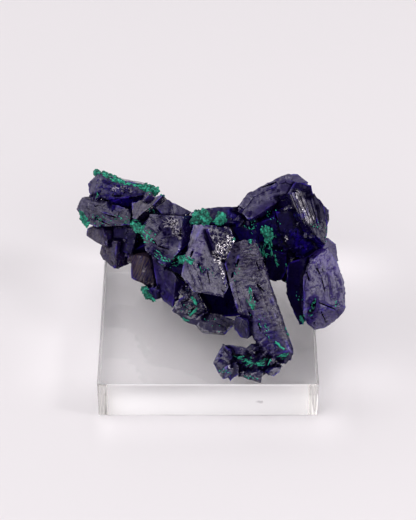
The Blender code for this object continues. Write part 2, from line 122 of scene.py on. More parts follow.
LEFT_CRYSTALS = {
    "upper_block": dict(
        at=(-19.5, 18, 32), facing=(-8, 35), depth=7, back=0.9,
        outline=[(-9.8, 0.3), (-9, -2.2), (-4, -3), (1.5, -2), (6.5, -0.5), (4, 1.5), (-1.5, 2),
                 (-6.5, 3.5)],
        bevels=[((-6.5, 3.5), (-7, -2.5), 50)]),
    "lower_block": dict(
        at=(-24.5, 14.5, 27.5), facing=(-12, 40), depth=7,
        outline=[(-7, 1), (-6, 3), (-3, 3.5), (6.5, 1.5), (6.5, -2), (-1, -3.5), (-3.5, -3),
                 (-7, 0)],
        bevels=[((-5, 3.2), (-6, -1.2), 35)]),
    "blue_recess": dict(
        at=(-18.5, 17.5, 27.5), facing=(30, 15), depth=7,
        outline=[(-5, 2), (-4, -4), (5, -4), (6, 1), (2, 3.5)]),
    "side_wedge": dict(
        at=(-24.5, 11.5, 23), facing=(-10, 30), depth=7,
        outline=[(-4.8, 1), (-3, 2), (5, 2.5), (3.5, -1.5), (1, -2.5), (-1, -2.5), (-4.8, -1)],
        bevels=[((-0.5, 2.2), (1, -2.5), 25), ((1, -2.5), (-0.5, 2.2), 45)]),
    "lower_wedge": dict(
        at=(-22, 9, 18.5), facing=(-5, 20), depth=6,
        outline=[(-4, 0), (-3, -1.5), (1, -3.5), (3.5, -3), (3.5, 1), (1.5, 4), (-0.5, 4), (-3.5, 2.5)],
        bevels=[((0.5, 4), (0, -3.5), 25), ((0, -3.5), (0.5, 4), 45)]),
    "striped_prism": dict(
        at=(-18, 8, 24.5), facing=(-20, 30), depth=6,
        outline=[(-1.5, 1), (-0.5, 3), (1, 3), (1, -0.5), (0.5, -3.5), (-1, -2)]),
    "roof_facet": dict(
        at=(-14, 12, 32), facing=(-25, 50), depth=7,
        outline=[(-4, -0.5), (3, 3.5), (1.5, 0.5), (-0.5, -2), (-1.5, -4), (-2.5, -4)]),
    "left_core": dict(
        at=(-17, 12, 24), facing=(-10, 25), depth=9,
        outline=[(-6, 4), (-5, -5), (4, -7), (8, 4), (3, 6)]),
}

RIGHT_CRYSTALS = {
    "long_tablet": dict(
        at=(13, 7, 37.5), facing=(-20, 60), depth=9,
        outline=[(-5.5, -3.5), (-4.5, 0.5), (0, 5), (3, 7.5), (5.5, 8), (8.5, 6.5), (1.5, -1.5),
                 (-1.5, -5), (-2.5, -5.5)]),
    "summit_block": dict(
        at=(21, 7.5, 41), facing=(25, 65), depth=10,
        outline=[(-4, -1), (-0.5, 1.8), (2.7, -0.5), (2.2, -3), (-2, -3)]),
    "glossy_block": dict(
        at=(23, 2.5, 36.5), facing=(50, 35), depth=10,
        outline=[(-1.5, 7), (-2, 1.5), (-1, -4), (0.5, -8), (3.5, -5), (5.5, 0), (4.5, 3.5), (2.5, 5)]),
    "blue_hollow": dict(
        at=(21, 2.5, 32), facing=(5, 15), depth=9,
        outline=[(-5.5, 5), (0.5, 5.5), (6, -3.5), (4.5, -6.5), (2, -7.8), (-2, -6), (-4.5, 0)]),
    "dark_bridge": dict(
        at=(9, 4.5, 31.5), facing=(-15, 25), depth=10,
        outline=[(-4.5, 3), (-2.5, 4), (1, 4), (3.5, 0.5), (4, -3.5), (-1.5, -3.5), (-4.5, 0.5)]),
    "spray_block": dict(
        at=(14, 2, 28.5), facing=(-5, 15), depth=10,
        outline=[(-3, 5), (1, 7), (4, 3), (5.5, -2.5), (4.5, -5.5), (0, -5), (-3, -3)]),
    "dark_underside": dict(
        at=(15.5, -0.5, 22.5), facing=(-5, 5), depth=7,
        outline=[(-2.5, 6), (2.5, 5), (2.5, 0), (1.5, -2.5), (-0.5, -3), (-2, -0.5)]),
    "dark_blade": dict(
        at=(20, -6, 19.5), facing=(-30, 10), depth=5,
        outline=[(-3, 8), (1, 11), (2.5, -1.5), (3, -6.5), (2, -7), (-0.5, -3.5), (-2.5, 0)]),
    "pendant": dict(
        at=(26.5, -7, 22.5), facing=(15, 30), depth=7, back=0.7, lean=(-1, 2.5),
        outline=[(2, 9.5), (4, 5.5), (5, 1), (5, -1.5), (4.4, -6.4), (2.7, -10), (0.2, -12),
                 (-2.5, -12.4), (-4.5, -9.5), (-5.5, -5), (-4.5, 4), (-3.5, 6.5)],
        bevels=[((-3, -4), (4.5, -5), 30)]),
    "pendant_back": dict(
        at=(29, 5, 24), facing=(40, 35), depth=7,
        outline=[(-4, 4), (0, 3.5), (1.5, 1), (0.5, -3), (-4, -4)]),
    "right_sliver": dict(
        at=(27, 6, 34.5), facing=(60, 30), depth=6,
        outline=[(0.5, 2.5), (1.5, 0), (0, -2), (-3, -3), (-3, 3)]),
}

FOOT_CRYSTALS = {
    "foot_left": dict(
        at=(3.5, -21.5, 13.5), facing=(-30, 35), depth=4,
        outline=[(-2.5, -1), (-2, 1.5), (-1.5, 4), (1, 3), (2, 0), (1.5, -2.5), (-0.5, -3)]),
    "foot_middle": dict(
        at=(5.5, -23, 12.5), facing=(0, 30), depth=4,
        outline=[(-1.5, -1), (0, 2), (1.5, 1), (1.5, -1), (-0.5, -2.5)]),
    "foot_top": dict(
        at=(10, -19.5, 15.5), facing=(5, 50), depth=4,
        outline=[(-1.5, 0.5), (0, 1.5), (1.5, 1.5), (1.5, 0), (0.5, -1), (-1.5, -1)]),
    "foot_ridge": dict(
        at=(7, -19.5, 15.5), facing=(-10, 50), depth=4,
        outline=[(-4, 0.9), (-1.8, 1), (1.5, 0.8), (2, -1), (-1.5, -1)]),
    "foot_right": dict(
        at=(10, -24, 11.5), facing=(5, 30), depth=4,
        outline=[(-3, 0.5), (-1, 1), (2.5, 1), (2, -1.5), (-1.5, -0.5)]),
    "foot_tip": dict(
        at=(15, -23.5, 12.5), facing=(25, 30), depth=4,
        outline=[(-1.5, 0.5), (0, 1), (2, 0.5), (1, -0.5), (-0.5, -1), (-2, 0)]),
    "foot_core": dict(
        at=(9.5, -21, 12.5), facing=(0, 40), depth=4,
        outline=[(-4, 2.5), (2.5, 2.5), (7.5, -0.5), (3, -2.5), (-2.5, -3), (-4, -0.5)]),
}

BACK_CRYSTALS = {
    "rear_left_blade": dict(
        at=(-23, 24, 25), facing=(200, 15), depth=10,
        outline=[(-5, -4), (4, -5), (6, 2), (1, 4.5), (-6, 3)],
        bevels=[((0.5, 4.5), (-0.5, -5), 25), ((-0.5, -5), (0.5, 4.5), 35)]),
    "rear_left_low": dict(
        at=(-14, 18, 18), facing=(190, -5), depth=9,
        outline=[(-5, -5), (3, -7), (6, 3), (-2, 6)],
        bevels=[((1, 6), (-1, -6), 30)]),
    "rear_left_wedge": dict(
        at=(-16, 23, 23), facing=(175, 20), depth=9,
        outline=[(-2.5, -5.5), (1.5, -6), (3.5, 0), (2, 5), (-2, 5.5), (-3.5, 0)],
        bevels=[((0.5, 5.5), (-0.5, -6), 35), ((-0.5, -6), (0.5, 5.5), 40)]),
    "rear_left_small": dict(
        at=(-9, 19.5, 15.5), facing=(195, 5), depth=7,
        outline=[(-3, -4), (2, -4.5), (4, 1), (0, 4), (-3.5, 2)],
        bevels=[((-3.5, 1), (3.8, 0), 25)]),
    "rear_middle": dict(
        at=(-3, 17, 20), facing=(178, 25), depth=12,
        outline=[(-7, -7), (4, -9), (8, 2), (0, 7), (-6, 5)],
        bevels=[((3, 7), (1, -9), 20)]),
    "rear_middle_wedge": dict(
        at=(3, 19.5, 18), facing=(165, 15), depth=9,
        outline=[(-3, -6), (1, -7.5), (3.5, -1), (2.5, 5), (-1, 6.5), (-3.5, 1)],
        bevels=[((0.5, 6.5), (-1, -7), 30), ((-1, -7), (0.5, 6.5), 40)]),
    "rear_right": dict(
        at=(9, 17, 23.5), facing=(168, 20), depth=11,
        outline=[(-6, -8), (5, -7), (7, 4), (-4, 6)],
        bevels=[((-5, -2), (6, -1), 25)]),
    "rear_right_high": dict(
        at=(19, 15, 32), facing=(160, 30), depth=10,
        outline=[(-6, -5), (4, -7), (6, 3), (-2, 6)],
        bevels=[((1, 6), (2, -7), 25)]),
    "rear_right_prism": dict(
        at=(15, 18, 27), facing=(150, 20), depth=9,
        outline=[(-2.5, -7), (2, -8), (3, 1), (1.5, 6), (-2, 6.5), (-3, 0)],
        bevels=[((0, 6.5), (0, -8), 35), ((0, -8), (0, 6.5), 30)]),
    "rear_right_low": dict(
        at=(21, 10, 23), facing=(140, 0), depth=9,
        outline=[(-5, -6), (3, -7), (5, 5), (-4, 5)],
        bevels=[((-5, 1), (5, 0), 20)]),
    "rear_right_small": dict(
        at=(17, 14, 16.5), facing=(155, -10), depth=7,
        outline=[(-3, -5), (2, -5.5), (3.5, 1), (0, 5), (-3, 2)],
        bevels=[((0, 5), (-0.5, -5.5), 30)]),
    "rear_left_leg": dict(
        at=(-8, 8, 18), facing=(-20, -10), depth=6,
        outline=[(-3, 8), (3, 8), (2.5, -5), (0, -8), (-2.5, -6)]),
    "rear_right_leg": dict(
        at=(12, 9, 18), facing=(15, -8), depth=6,
        outline=[(-3, 8), (3, 8), (2.5, -5), (0.5, -8), (-2.5, -6)]),
    "left_underside": dict(
        at=(-20, 14, 16.5), facing=(-40, -35), depth=6,
        outline=[(-4, -2), (1, -4), (4, 0), (2, 4), (-3, 3)],
        bevels=[((1, 4), (0, -4), 30)]),
    "right_underside": dict(
        at=(22, 4, 19), facing=(35, -30), depth=7,
        outline=[(-3.5, -3), (2, -4), (4, 1), (1, 5), (-4, 3)],
        bevels=[((0, 5), (0.5, -4), 30)]),
}

# Each malachite growth: the middle and radius of every ball that runs together in it

MALACHITE_GROWTHS = {
    "malachite_top_crust": [
        ((-26.2, 22.3, 33.4), 0.95), ((-24.8, 22.0, 33.2), 0.8), ((-23.3, 21.3, 33.0), 0.85),
        ((-21.9, 20.7, 32.8), 0.8), ((-20.5, 20.1, 32.4), 0.75), ((-19.3, 19.5, 32.3), 0.7)],
    "malachite_shoulder_crust": [
        ((-14.5, 17.7, 32.7), 1.1), ((-13.3, 16.7, 33.0), 1.3), ((-12.2, 15.6, 33.2), 1.1)],
    "malachite_side_crust": [
        ((-29.7, 15.1, 26.8), 0.8), ((-29.2, 14.4, 25.9), 0.9), ((-28.5, 13.6, 24.9), 0.8)],
    "malachite_left_tuft": [
        ((-17.0, 9.4, 28.0), 1.0), ((-15.8, 7.4, 28.6), 1.3), ((-14.5, 4.9, 29.6), 1.2)],
    "malachite_seam_tuft": [
        ((-5.8, -1.4, 26.9), 1.2), ((-4.6, -2.4, 26.7), 1.1)],
    "malachite_under_crust": [
        ((-14.8, 1.7, 14.7), 1.0), ((-13.9, 0.9, 13.9), 1.1), ((-12.8, 0.4, 13.4), 0.9)],
    "malachite_large_ball": [
        ((-1.4, 4.7, 34.7), 2.0), ((-0.6, 3.1, 34.5), 1.4), ((-2.7, 4.0, 33.8), 1.4)],
    "malachite_small_ball": [
        ((2.8, 3.6, 34.8), 1.5)],
    "malachite_spray": [
        ((13.4, 2.4, 32.2), 1.3), ((14.0, 1.7, 31.3), 1.15), ((13.6, 1.4, 30.4), 0.8)],
}


# How finely each facet is meshed: facets that face the photographer, and all others
FINE_SPACING = 0.30
COARSE_SPACING = 0.62


def placed(name, content):
    """A new object in the scene, for a mesh, a light or a camera."""
    thing = bpy.data.objects.new(name, content)
    bpy.context.scene.collection.objects.link(thing)
    return thing


def bmesh_object(name, data):
    """A new object made of a bmesh, which is used up."""
    mesh = bpy.data.meshes.new(name)
    data.to_mesh(mesh)
    data.free()
    return placed(name, mesh)


def set_attribute(mesh, name, values, domain="POINT"):
    """Gives each point or corner of a mesh a number, or a direction."""
    kind, key = ("FLOAT", "value") if values.ndim == 1 else ("FLOAT_VECTOR", "vector")
    made = mesh.attributes.new(name, kind, domain)
    made.data.foreach_set(key, values.astype(np.float32).ravel())


def face_axes(facing):
    """Right, up and outward directions of a face seen straight on, as the columns of a matrix.

    Facing is its compass bearing and its tilt: bearing 0 faces -Y and 90 faces +X, tilt 90 faces up.
    """
    bearing, tilt = radians(facing[0]), radians(facing[1])
    outward = Vector((sin(bearing) * cos(tilt), -cos(bearing) * cos(tilt), sin(tilt)))
    right = Vector((cos(bearing), sin(bearing), 0.0))
    return Matrix((right, outward.cross(right), outward)).transposed()


def put_in_order(data):
    """Makes a bmesh again, with its corners and faces in an order that only their places decide."""
    data.verts.index_update()
    points = [tuple(vert.co) for vert in data.verts]
    order = sorted(range(len(points)), key=points.__getitem__)
    rank = {number: place for place, number in enumerate(order)}
    rings = []
    for face in data.faces:
        ring = [rank[vert.index] for vert in face.verts]
        first = ring.index(min(ring))
        rings.append(ring[first:] + ring[:first])
    data.clear()
    corners = [data.verts.new(points[number]) for number in order]
    for ring in sorted(rings):
        data.faces.new([corners[number] for number in ring])
    data.verts.index_update()
    data.faces.index_update()
    data.normal_update()


def cut_plane(data, point, normal):
    """Takes away what lies beyond a plane, and closes the cut."""
    everything = data.verts[:] + data.edges[:] + data.faces[:]
    bmesh.ops.bisect_plane(data, geom=everything, dist=0.001, plane_co=point, plane_no=normal,
                           clear_outer=True)
    rim = [edge for edge in data.edges if edge.is_boundary]
    if rim:
        bmesh.ops.contextual_create(data, geom=rim)
    put_in_order(data)


def crystal_data(at, facing, outline, depth, back=0.85, lean=(0.0, 0.0), bevels=()):
    """One crystal: a flat front face of that outline, which reaches back through its depth."""
    data = bmesh.new()
    front = data.faces.new([data.verts.new((a, b, 0.0)) for a, b in outline])
    centre = front.calc_center_median()
    made = bmesh.ops.extrude_face_region(data, geom=[front], use_keep_orig=True)
    for vert in (item for item in made["geom"] if isinstance(item, bmesh.types.BMVert)):
        vert.co = centre + (vert.co - centre) * back + Vector((*lean, -depth))
    bmesh.ops.recalc_face_normals(data, faces=data.faces)
    put_in_order(data)
    for start, end, tilt in bevels:
        along = Vector((end[0] - start[0], end[1] - start[1], 0.0)).normalized()
        normal = Vector((along.y, -along.x, 0.0)) * sin(radians(tilt))
        normal.z = cos(radians(tilt))
        cut_plane(data, Vector((start[0], start[1], 0.0)), normal)
    place = Matrix.Translation(Vector(at)) @ face_axes(facing).to_4x4()
    bmesh.ops.transform(data, matrix=place, verts=data.verts)
    cut_plane(data, Vector((0.0, 0.0, CRYSTAL_FLOOR)), Vector((0.0, 0.0, -1.0)))
    data.normal_update()
    return data


def scrambled(cell, seed):
    """A repeatable number from 0 to 1 for each whole-number cell."""
    mixed = (cell[:, 0] * 73856093) ^ (cell[:, 1] * 19349663)
    mixed ^= (cell[:, 2] * 83492791) ^ (seed * 2654435761)
    mixed &= 0xFFFFFFFF
    mixed = ((mixed ^ (mixed >> 13)) * 1274126177) & 0xFFFFFFFF
    mixed = ((mixed ^ (mixed >> 16)) * 1103515245) & 0xFFFFFFFF
    return (mixed ^ (mixed >> 15)) / 0xFFFFFFFF


def noise(points, size, seed):
    """Smooth noise from -1 to 1, with lumps about that many millimetres across."""
    place = points / size
    cell = np.floor(place).astype(np.int64)
    part = place - cell
    ease = part * part * (3.0 - 2.0 * part)
    total = np.zeros(len(points))
    for corner in product((0, 1), repeat=3):
        weight = np.prod(np.where(np.array(corner) == 1, ease, 1.0 - ease), axis=1)
        total += weight * scrambled(cell + np.array(corner), seed)
    return total * 2.0 - 1.0


def noise_vectors(points, size, seed):
    return np.stack([noise(points, size, seed + axis) for axis in range(3)], axis=1)


def cells(points, size, seed):
    """The nearest of many scattered seeds: its distance, the second one's, its number and its place."""
    place = points / size
    base = np.floor(place).astype(np.int64)
    nearest = np.full(len(points), 9.0)
    second = nearest.copy()
    number = np.zeros(len(points))
    middle = np.zeros((len(points), 3))
    for step in product((-1, 0, 1), repeat=3):
        cell = base + np.array(step)
        spot = cell + np.stack([scrambled(cell, seed + axis) for axis in (1, 2, 3)], axis=1)
        distance = np.linalg.norm(place - spot, axis=1)
        closer = distance < nearest
        second = np.where(closer, nearest, np.minimum(second, distance))
        number[closer] = scrambled(cell[closer], seed + 4)
        middle[closer] = spot[closer]
        nearest = np.minimum(nearest, distance)
    return nearest * size, second * size, number, middle * size


def smooth_step(low, high, value):
    part = np.clip((value - low) / (high - low), 0.0, 1.0)
    return part * part * (3.0 - 2.0 * part)


def inside(corners, points):
    """Which points a flat outline holds."""
    held = np.zeros(len(points), bool)
    x, y = points[:, 0], points[:, 1]
    for (x0, y0), (x1, y1) in zip(corners, np.roll(corners, -1, axis=0)):
        if y0 != y1:
            crosses = (y0 > y) != (y1 > y)
            held ^= crosses & (x < (x1 - x0) * (y - y0) / (y1 - y0) + x0)
    return held


def edge_distance(corners, points):
    """Distance from each point to a flat outline's nearest side."""
    nearest = np.full(len(points), 1e9)
    for start, end in zip(corners, np.roll(corners, -1, axis=0)):
        run = end - start
        length = max(run @ run, 1e-12)
        share = np.clip(((points - start) @ run) / length, 0.0, 1.0)
        nearest = np.minimum(nearest, np.linalg.norm(points - start - share[:, None] * run, axis=1))
    return nearest


def flat_grid(corners, spacing, seed):
    """Scattered points that fill a flat outline evenly, clear of its sides."""
    low, high = corners.min(0), corners.max(0)
    rows = np.arange(low[1], high[1] + spacing, spacing * 0.866)
    columns = np.arange(low[0], high[0] + spacing, spacing)
    grid = np.stack(np.meshgrid(columns, rows), axis=-1)
    grid[1::2, :, 0] += spacing / 2
    grid = grid.reshape(-1, 2)
    if not len(grid):
        return grid
    grid = grid + np.random.default_rng(seed).uniform(-0.18, 0.18, grid.shape) * spacing
    grid = grid[inside(corners, grid)]
    return grid[edge_distance(corners, grid) > spacing * 0.55] if len(grid) else grid


def boolean_result(data, others, operation):
    """The body joined with other solids, or with them taken out of it."""
    helpers = bpy.data.collections.new("helpers")
    body, *things = [bmesh_object("helper", solid) for solid in [data, *others]]
    for thing in things:
        helpers.objects.link(thing)
    modifier = body.modifiers.new("Join", "BOOLEAN")
    modifier.operation = operation
    modifier.solver = "EXACT"
    modifier.operand_type = "COLLECTION"
    modifier.collection = helpers
    graph = bpy.context.evaluated_depsgraph_get()
    graph.update()
    mesh = bpy.data.meshes.new_from_object(body.evaluated_get(graph))
    result = bmesh.new()
    result.from_mesh(mesh)
    put_in_order(result)
    bpy.data.meshes.remove(mesh)
    for thing in [body, *things]:
        bpy.data.objects.remove(thing)
    bpy.data.collections.remove(helpers)
    return result


def one_body(data):
    """Takes away every part but the one with the most corners."""
    left, parts = set(data.verts), []
    while left:
        start = left.pop()
        part, waiting = {start}, [start]
        while waiting:
            vert = waiting.pop()
            for edge in vert.link_edges:
                other = edge.other_vert(vert)
                if other in left:
                    left.remove(other)
                    part.add(other)
                    waiting.append(other)
        parts.append(part)
    parts.sort(key=len)
    for part in parts[:-1]:
        bmesh.ops.delete(data, geom=list(part), context="VERTS")
    data.normal_update()
    return data


# The least area, in square millimetres, of the facets on both sides of an edge where light shows through
RIM_FACET_AREA = 1.5


class Facets:
    """The closed body of flat facets, meshed finely: every point and triangle, and the facet of each."""

    def __init__(self, data, spacing_of, owners):
        data.faces.ensure_lookup_table()
        data.verts.index_update()
        data.edges.index_update()
        data.faces.index_update()
        self.points = [vert.co.copy() for vert in data.verts]
        self.sharp, self.ridges, self.rims, self.joints, self.creases = set(), set(), set(), set(), set()
        spacing = [spacing_of(face) for face in data.faces]
        rungs = {}
        for edge in data.edges:
            finest = min(spacing[face.index] for face in edge.link_faces)
            count = max(1, round(edge.calc_length() / finest))
            start, end = edge.verts
            row = [start.index]
            for step in range(1, count):
                row.append(len(self.points))
                self.points.append(start.co.lerp(end.co, step / count))
            row.append(end.index)
            rungs[edge.index] = row
            if len(edge.link_faces) == 2 and edge.calc_face_angle(0.0) > radians(4):
                self.sharp.update(row)
                one, other = edge.link_faces
                if edge.calc_face_angle_signed(0.0) > 0.0:
                    self.ridges.update(row)
                    if min(one.calc_area(), other.calc_area()) > RIM_FACET_AREA:
                        self.rims.update(row)
                elif owners[one.index] != owners[other.index]:
                    self.joints.update(row)
                else:
                    self.creases.update(row)
        self.triangles, self.facet = [], []
        for face in data.faces:
            self.fill(face, rungs, spacing[face.index])
        self.points = np.array([tuple(point) for point in self.points])
        self.triangles = np.array(self.triangles)
        self.facet = np.array(self.facet)

    def fill(self, face, rungs, spacing):
        """Meshes one facet between the points of its sides."""
        rim = []
        for loop in face.loops:
            row = rungs[loop.edge.index]
            rim.extend(row[:-1] if row[0] == loop.vert.index else row[:0:-1])
        normal = face.normal
        across = (face.loops[0].edge.verts[0].co - face.loops[0].edge.verts[1].co).normalized()
        up = normal.cross(across)
        frame_axes = np.array([across, up])
        flat_rim = np.array([tuple(self.points[index]) for index in rim]) @ frame_axes.T
        height = normal.dot(face.verts[0].co)
        corners = np.array([tuple(vert.co) for vert in face.verts]) @ frame_axes.T
        grid = flat_grid(corners, spacing, face.index)
        first = len(self.points)
        flat = [Vector(point) for point in flat_rim] + [Vector(point) for point in grid]
        made = delaunay_2d_cdt(flat, [], [list(range(len(rim)))], 1, 1e-7)
        spots, _, faces, sources = made[:4]
        number = {}
        for spot_index, source in enumerate(sources):
            known = source[0] if source else None
            if known is None:
                number[spot_index] = len(self.points)
                spot = spots[spot_index]
                self.points.append(across * spot[0] + up * spot[1] + normal * height)
            elif known < len(rim):
                number[spot_index] = rim[known]
            else:
                number[spot_index] = first + known - len(rim)
        for point in grid:
            self.points.append(across * point[0] + up * point[1] + normal * height)
        for corner_list in faces:
            self.triangles.append([number[corner] for corner in corner_list])
            self.facet.append(face.index)

# How a crystal's surface differs from the plain one: the grain is the direction of its striae in the front
# face, in degrees from that face's right; striae, terraces and waves are heights in millimetres, and shine
# is how much of the light a facet gives back, from 0 to 1. Shine is set crystal by crystal to how light each
# one looks, so it holds painted light and shade: next to none on the crystals in the recesses and
# underneath, which is painted shade, and much on some that stand in shade, which is painted light

PLAIN_LOOK = dict(grain=90, striae=0.012, period=0.8, terraces=0.05, tilts=0.012, waves=0.03, frost=0.40,
                  rough=0.15, shine=0.43, blue=0.0, warm=0.0, violet=0.0, plates=1.0)

LOOKS = {
    "front_leg": dict(grain=8, striae=0.008, period=1.3, terraces=0.03, frost=0.45, shine=0.6, warm=0.12,
                      plates=0.35),
    "central_prism": dict(grain=115, striae=0.013, terraces=0.04, frost=0.50, shine=0.72, violet=0.08,
                          plates=0.35),
    "central_shoulder": dict(grain=60, striae=0.025, terraces=0.07, frost=0.25, shine=0.39),
    "pitted_block": dict(grain=30, striae=0.015, terraces=0.07, frost=0.45, shine=0.45),
    "ridge_block": dict(shine=0.54),
    "brown_prism": dict(grain=70, striae=0.035, period=0.9, frost=0.3, warm=0.7, rough=0.15, shine=0.26),
    "pointed_wedge": dict(grain=65, striae=0.025, frost=0.4, shine=0.47, violet=0.1),
    "low_chunk": dict(grain=35, striae=0.030, terraces=0.08, frost=0.45, shine=1.0),
    "low_ledge": dict(frost=0.4, shine=0.9),
    "cavity_wall": dict(frost=0.0, blue=0.1, shine=0.00),
    "heart": dict(frost=0.1, blue=0.2, shine=0.02),
    "upper_block": dict(grain=80, striae=0.020, terraces=0.06, frost=0.30, blue=0.35, shine=0.28),
    "lower_block": dict(grain=-10, terraces=0.05, frost=0.45, shine=0.39),
    "blue_recess": dict(frost=0.0, blue=0.4, rough=0.13, shine=0.00),
    "striped_prism": dict(grain=10, striae=0.030, period=0.8, frost=0.2, shine=0.29),
    "side_wedge": dict(shine=0.60, warm=0.25),
    "lower_wedge": dict(shine=0.60, warm=0.25),
    "roof_facet": dict(shine=0.49, warm=0.2),
    "left_core": dict(shine=0.31),
    "dark_ridge": dict(frost=0.1, blue=0.2, terraces=0.08, shine=0.21),
    "long_tablet": dict(grain=35, striae=0.020, terraces=0.07, frost=0.35, shine=0.39, violet=0.15),
    "summit_block": dict(frost=0.2, shine=0.31),
    "glossy_block": dict(grain=80, striae=0.05, period=0.9, terraces=0.05, frost=0.10, rough=0.10,
                         shine=0.49),
    "blue_hollow": dict(frost=0.0, blue=0.10, rough=0.16, terraces=0.10, shine=0.03),
    "dark_bridge": dict(frost=0.05, blue=0.3, shine=0.03),
    "spray_block": dict(frost=0.05, blue=0.2, terraces=0.10, shine=0.02),
    "dark_underside": dict(frost=0.05, shine=0.02),
    "dark_blade": dict(grain=10, striae=0.030, period=1.2, terraces=0.12, frost=0.05, shine=0.05),
    "pendant": dict(grain=100, striae=0.015, terraces=0.06, frost=0.55, shine=0.99, violet=0.35, plates=0.4),
    "pendant_back": dict(grain=80, frost=0.5, shine=0.59, violet=0.5),
    "leg_knee": dict(frost=0.2, blue=0.0, shine=0.3),
    "foot_middle": dict(shine=0.9),
    "foot_right": dict(shine=0.9),
    "foot_tip": dict(shine=0.9),
    "foot_top": dict(shine=0.9),
    "foot_left": dict(frost=0.4, blue=0.08, shine=0.85),
}
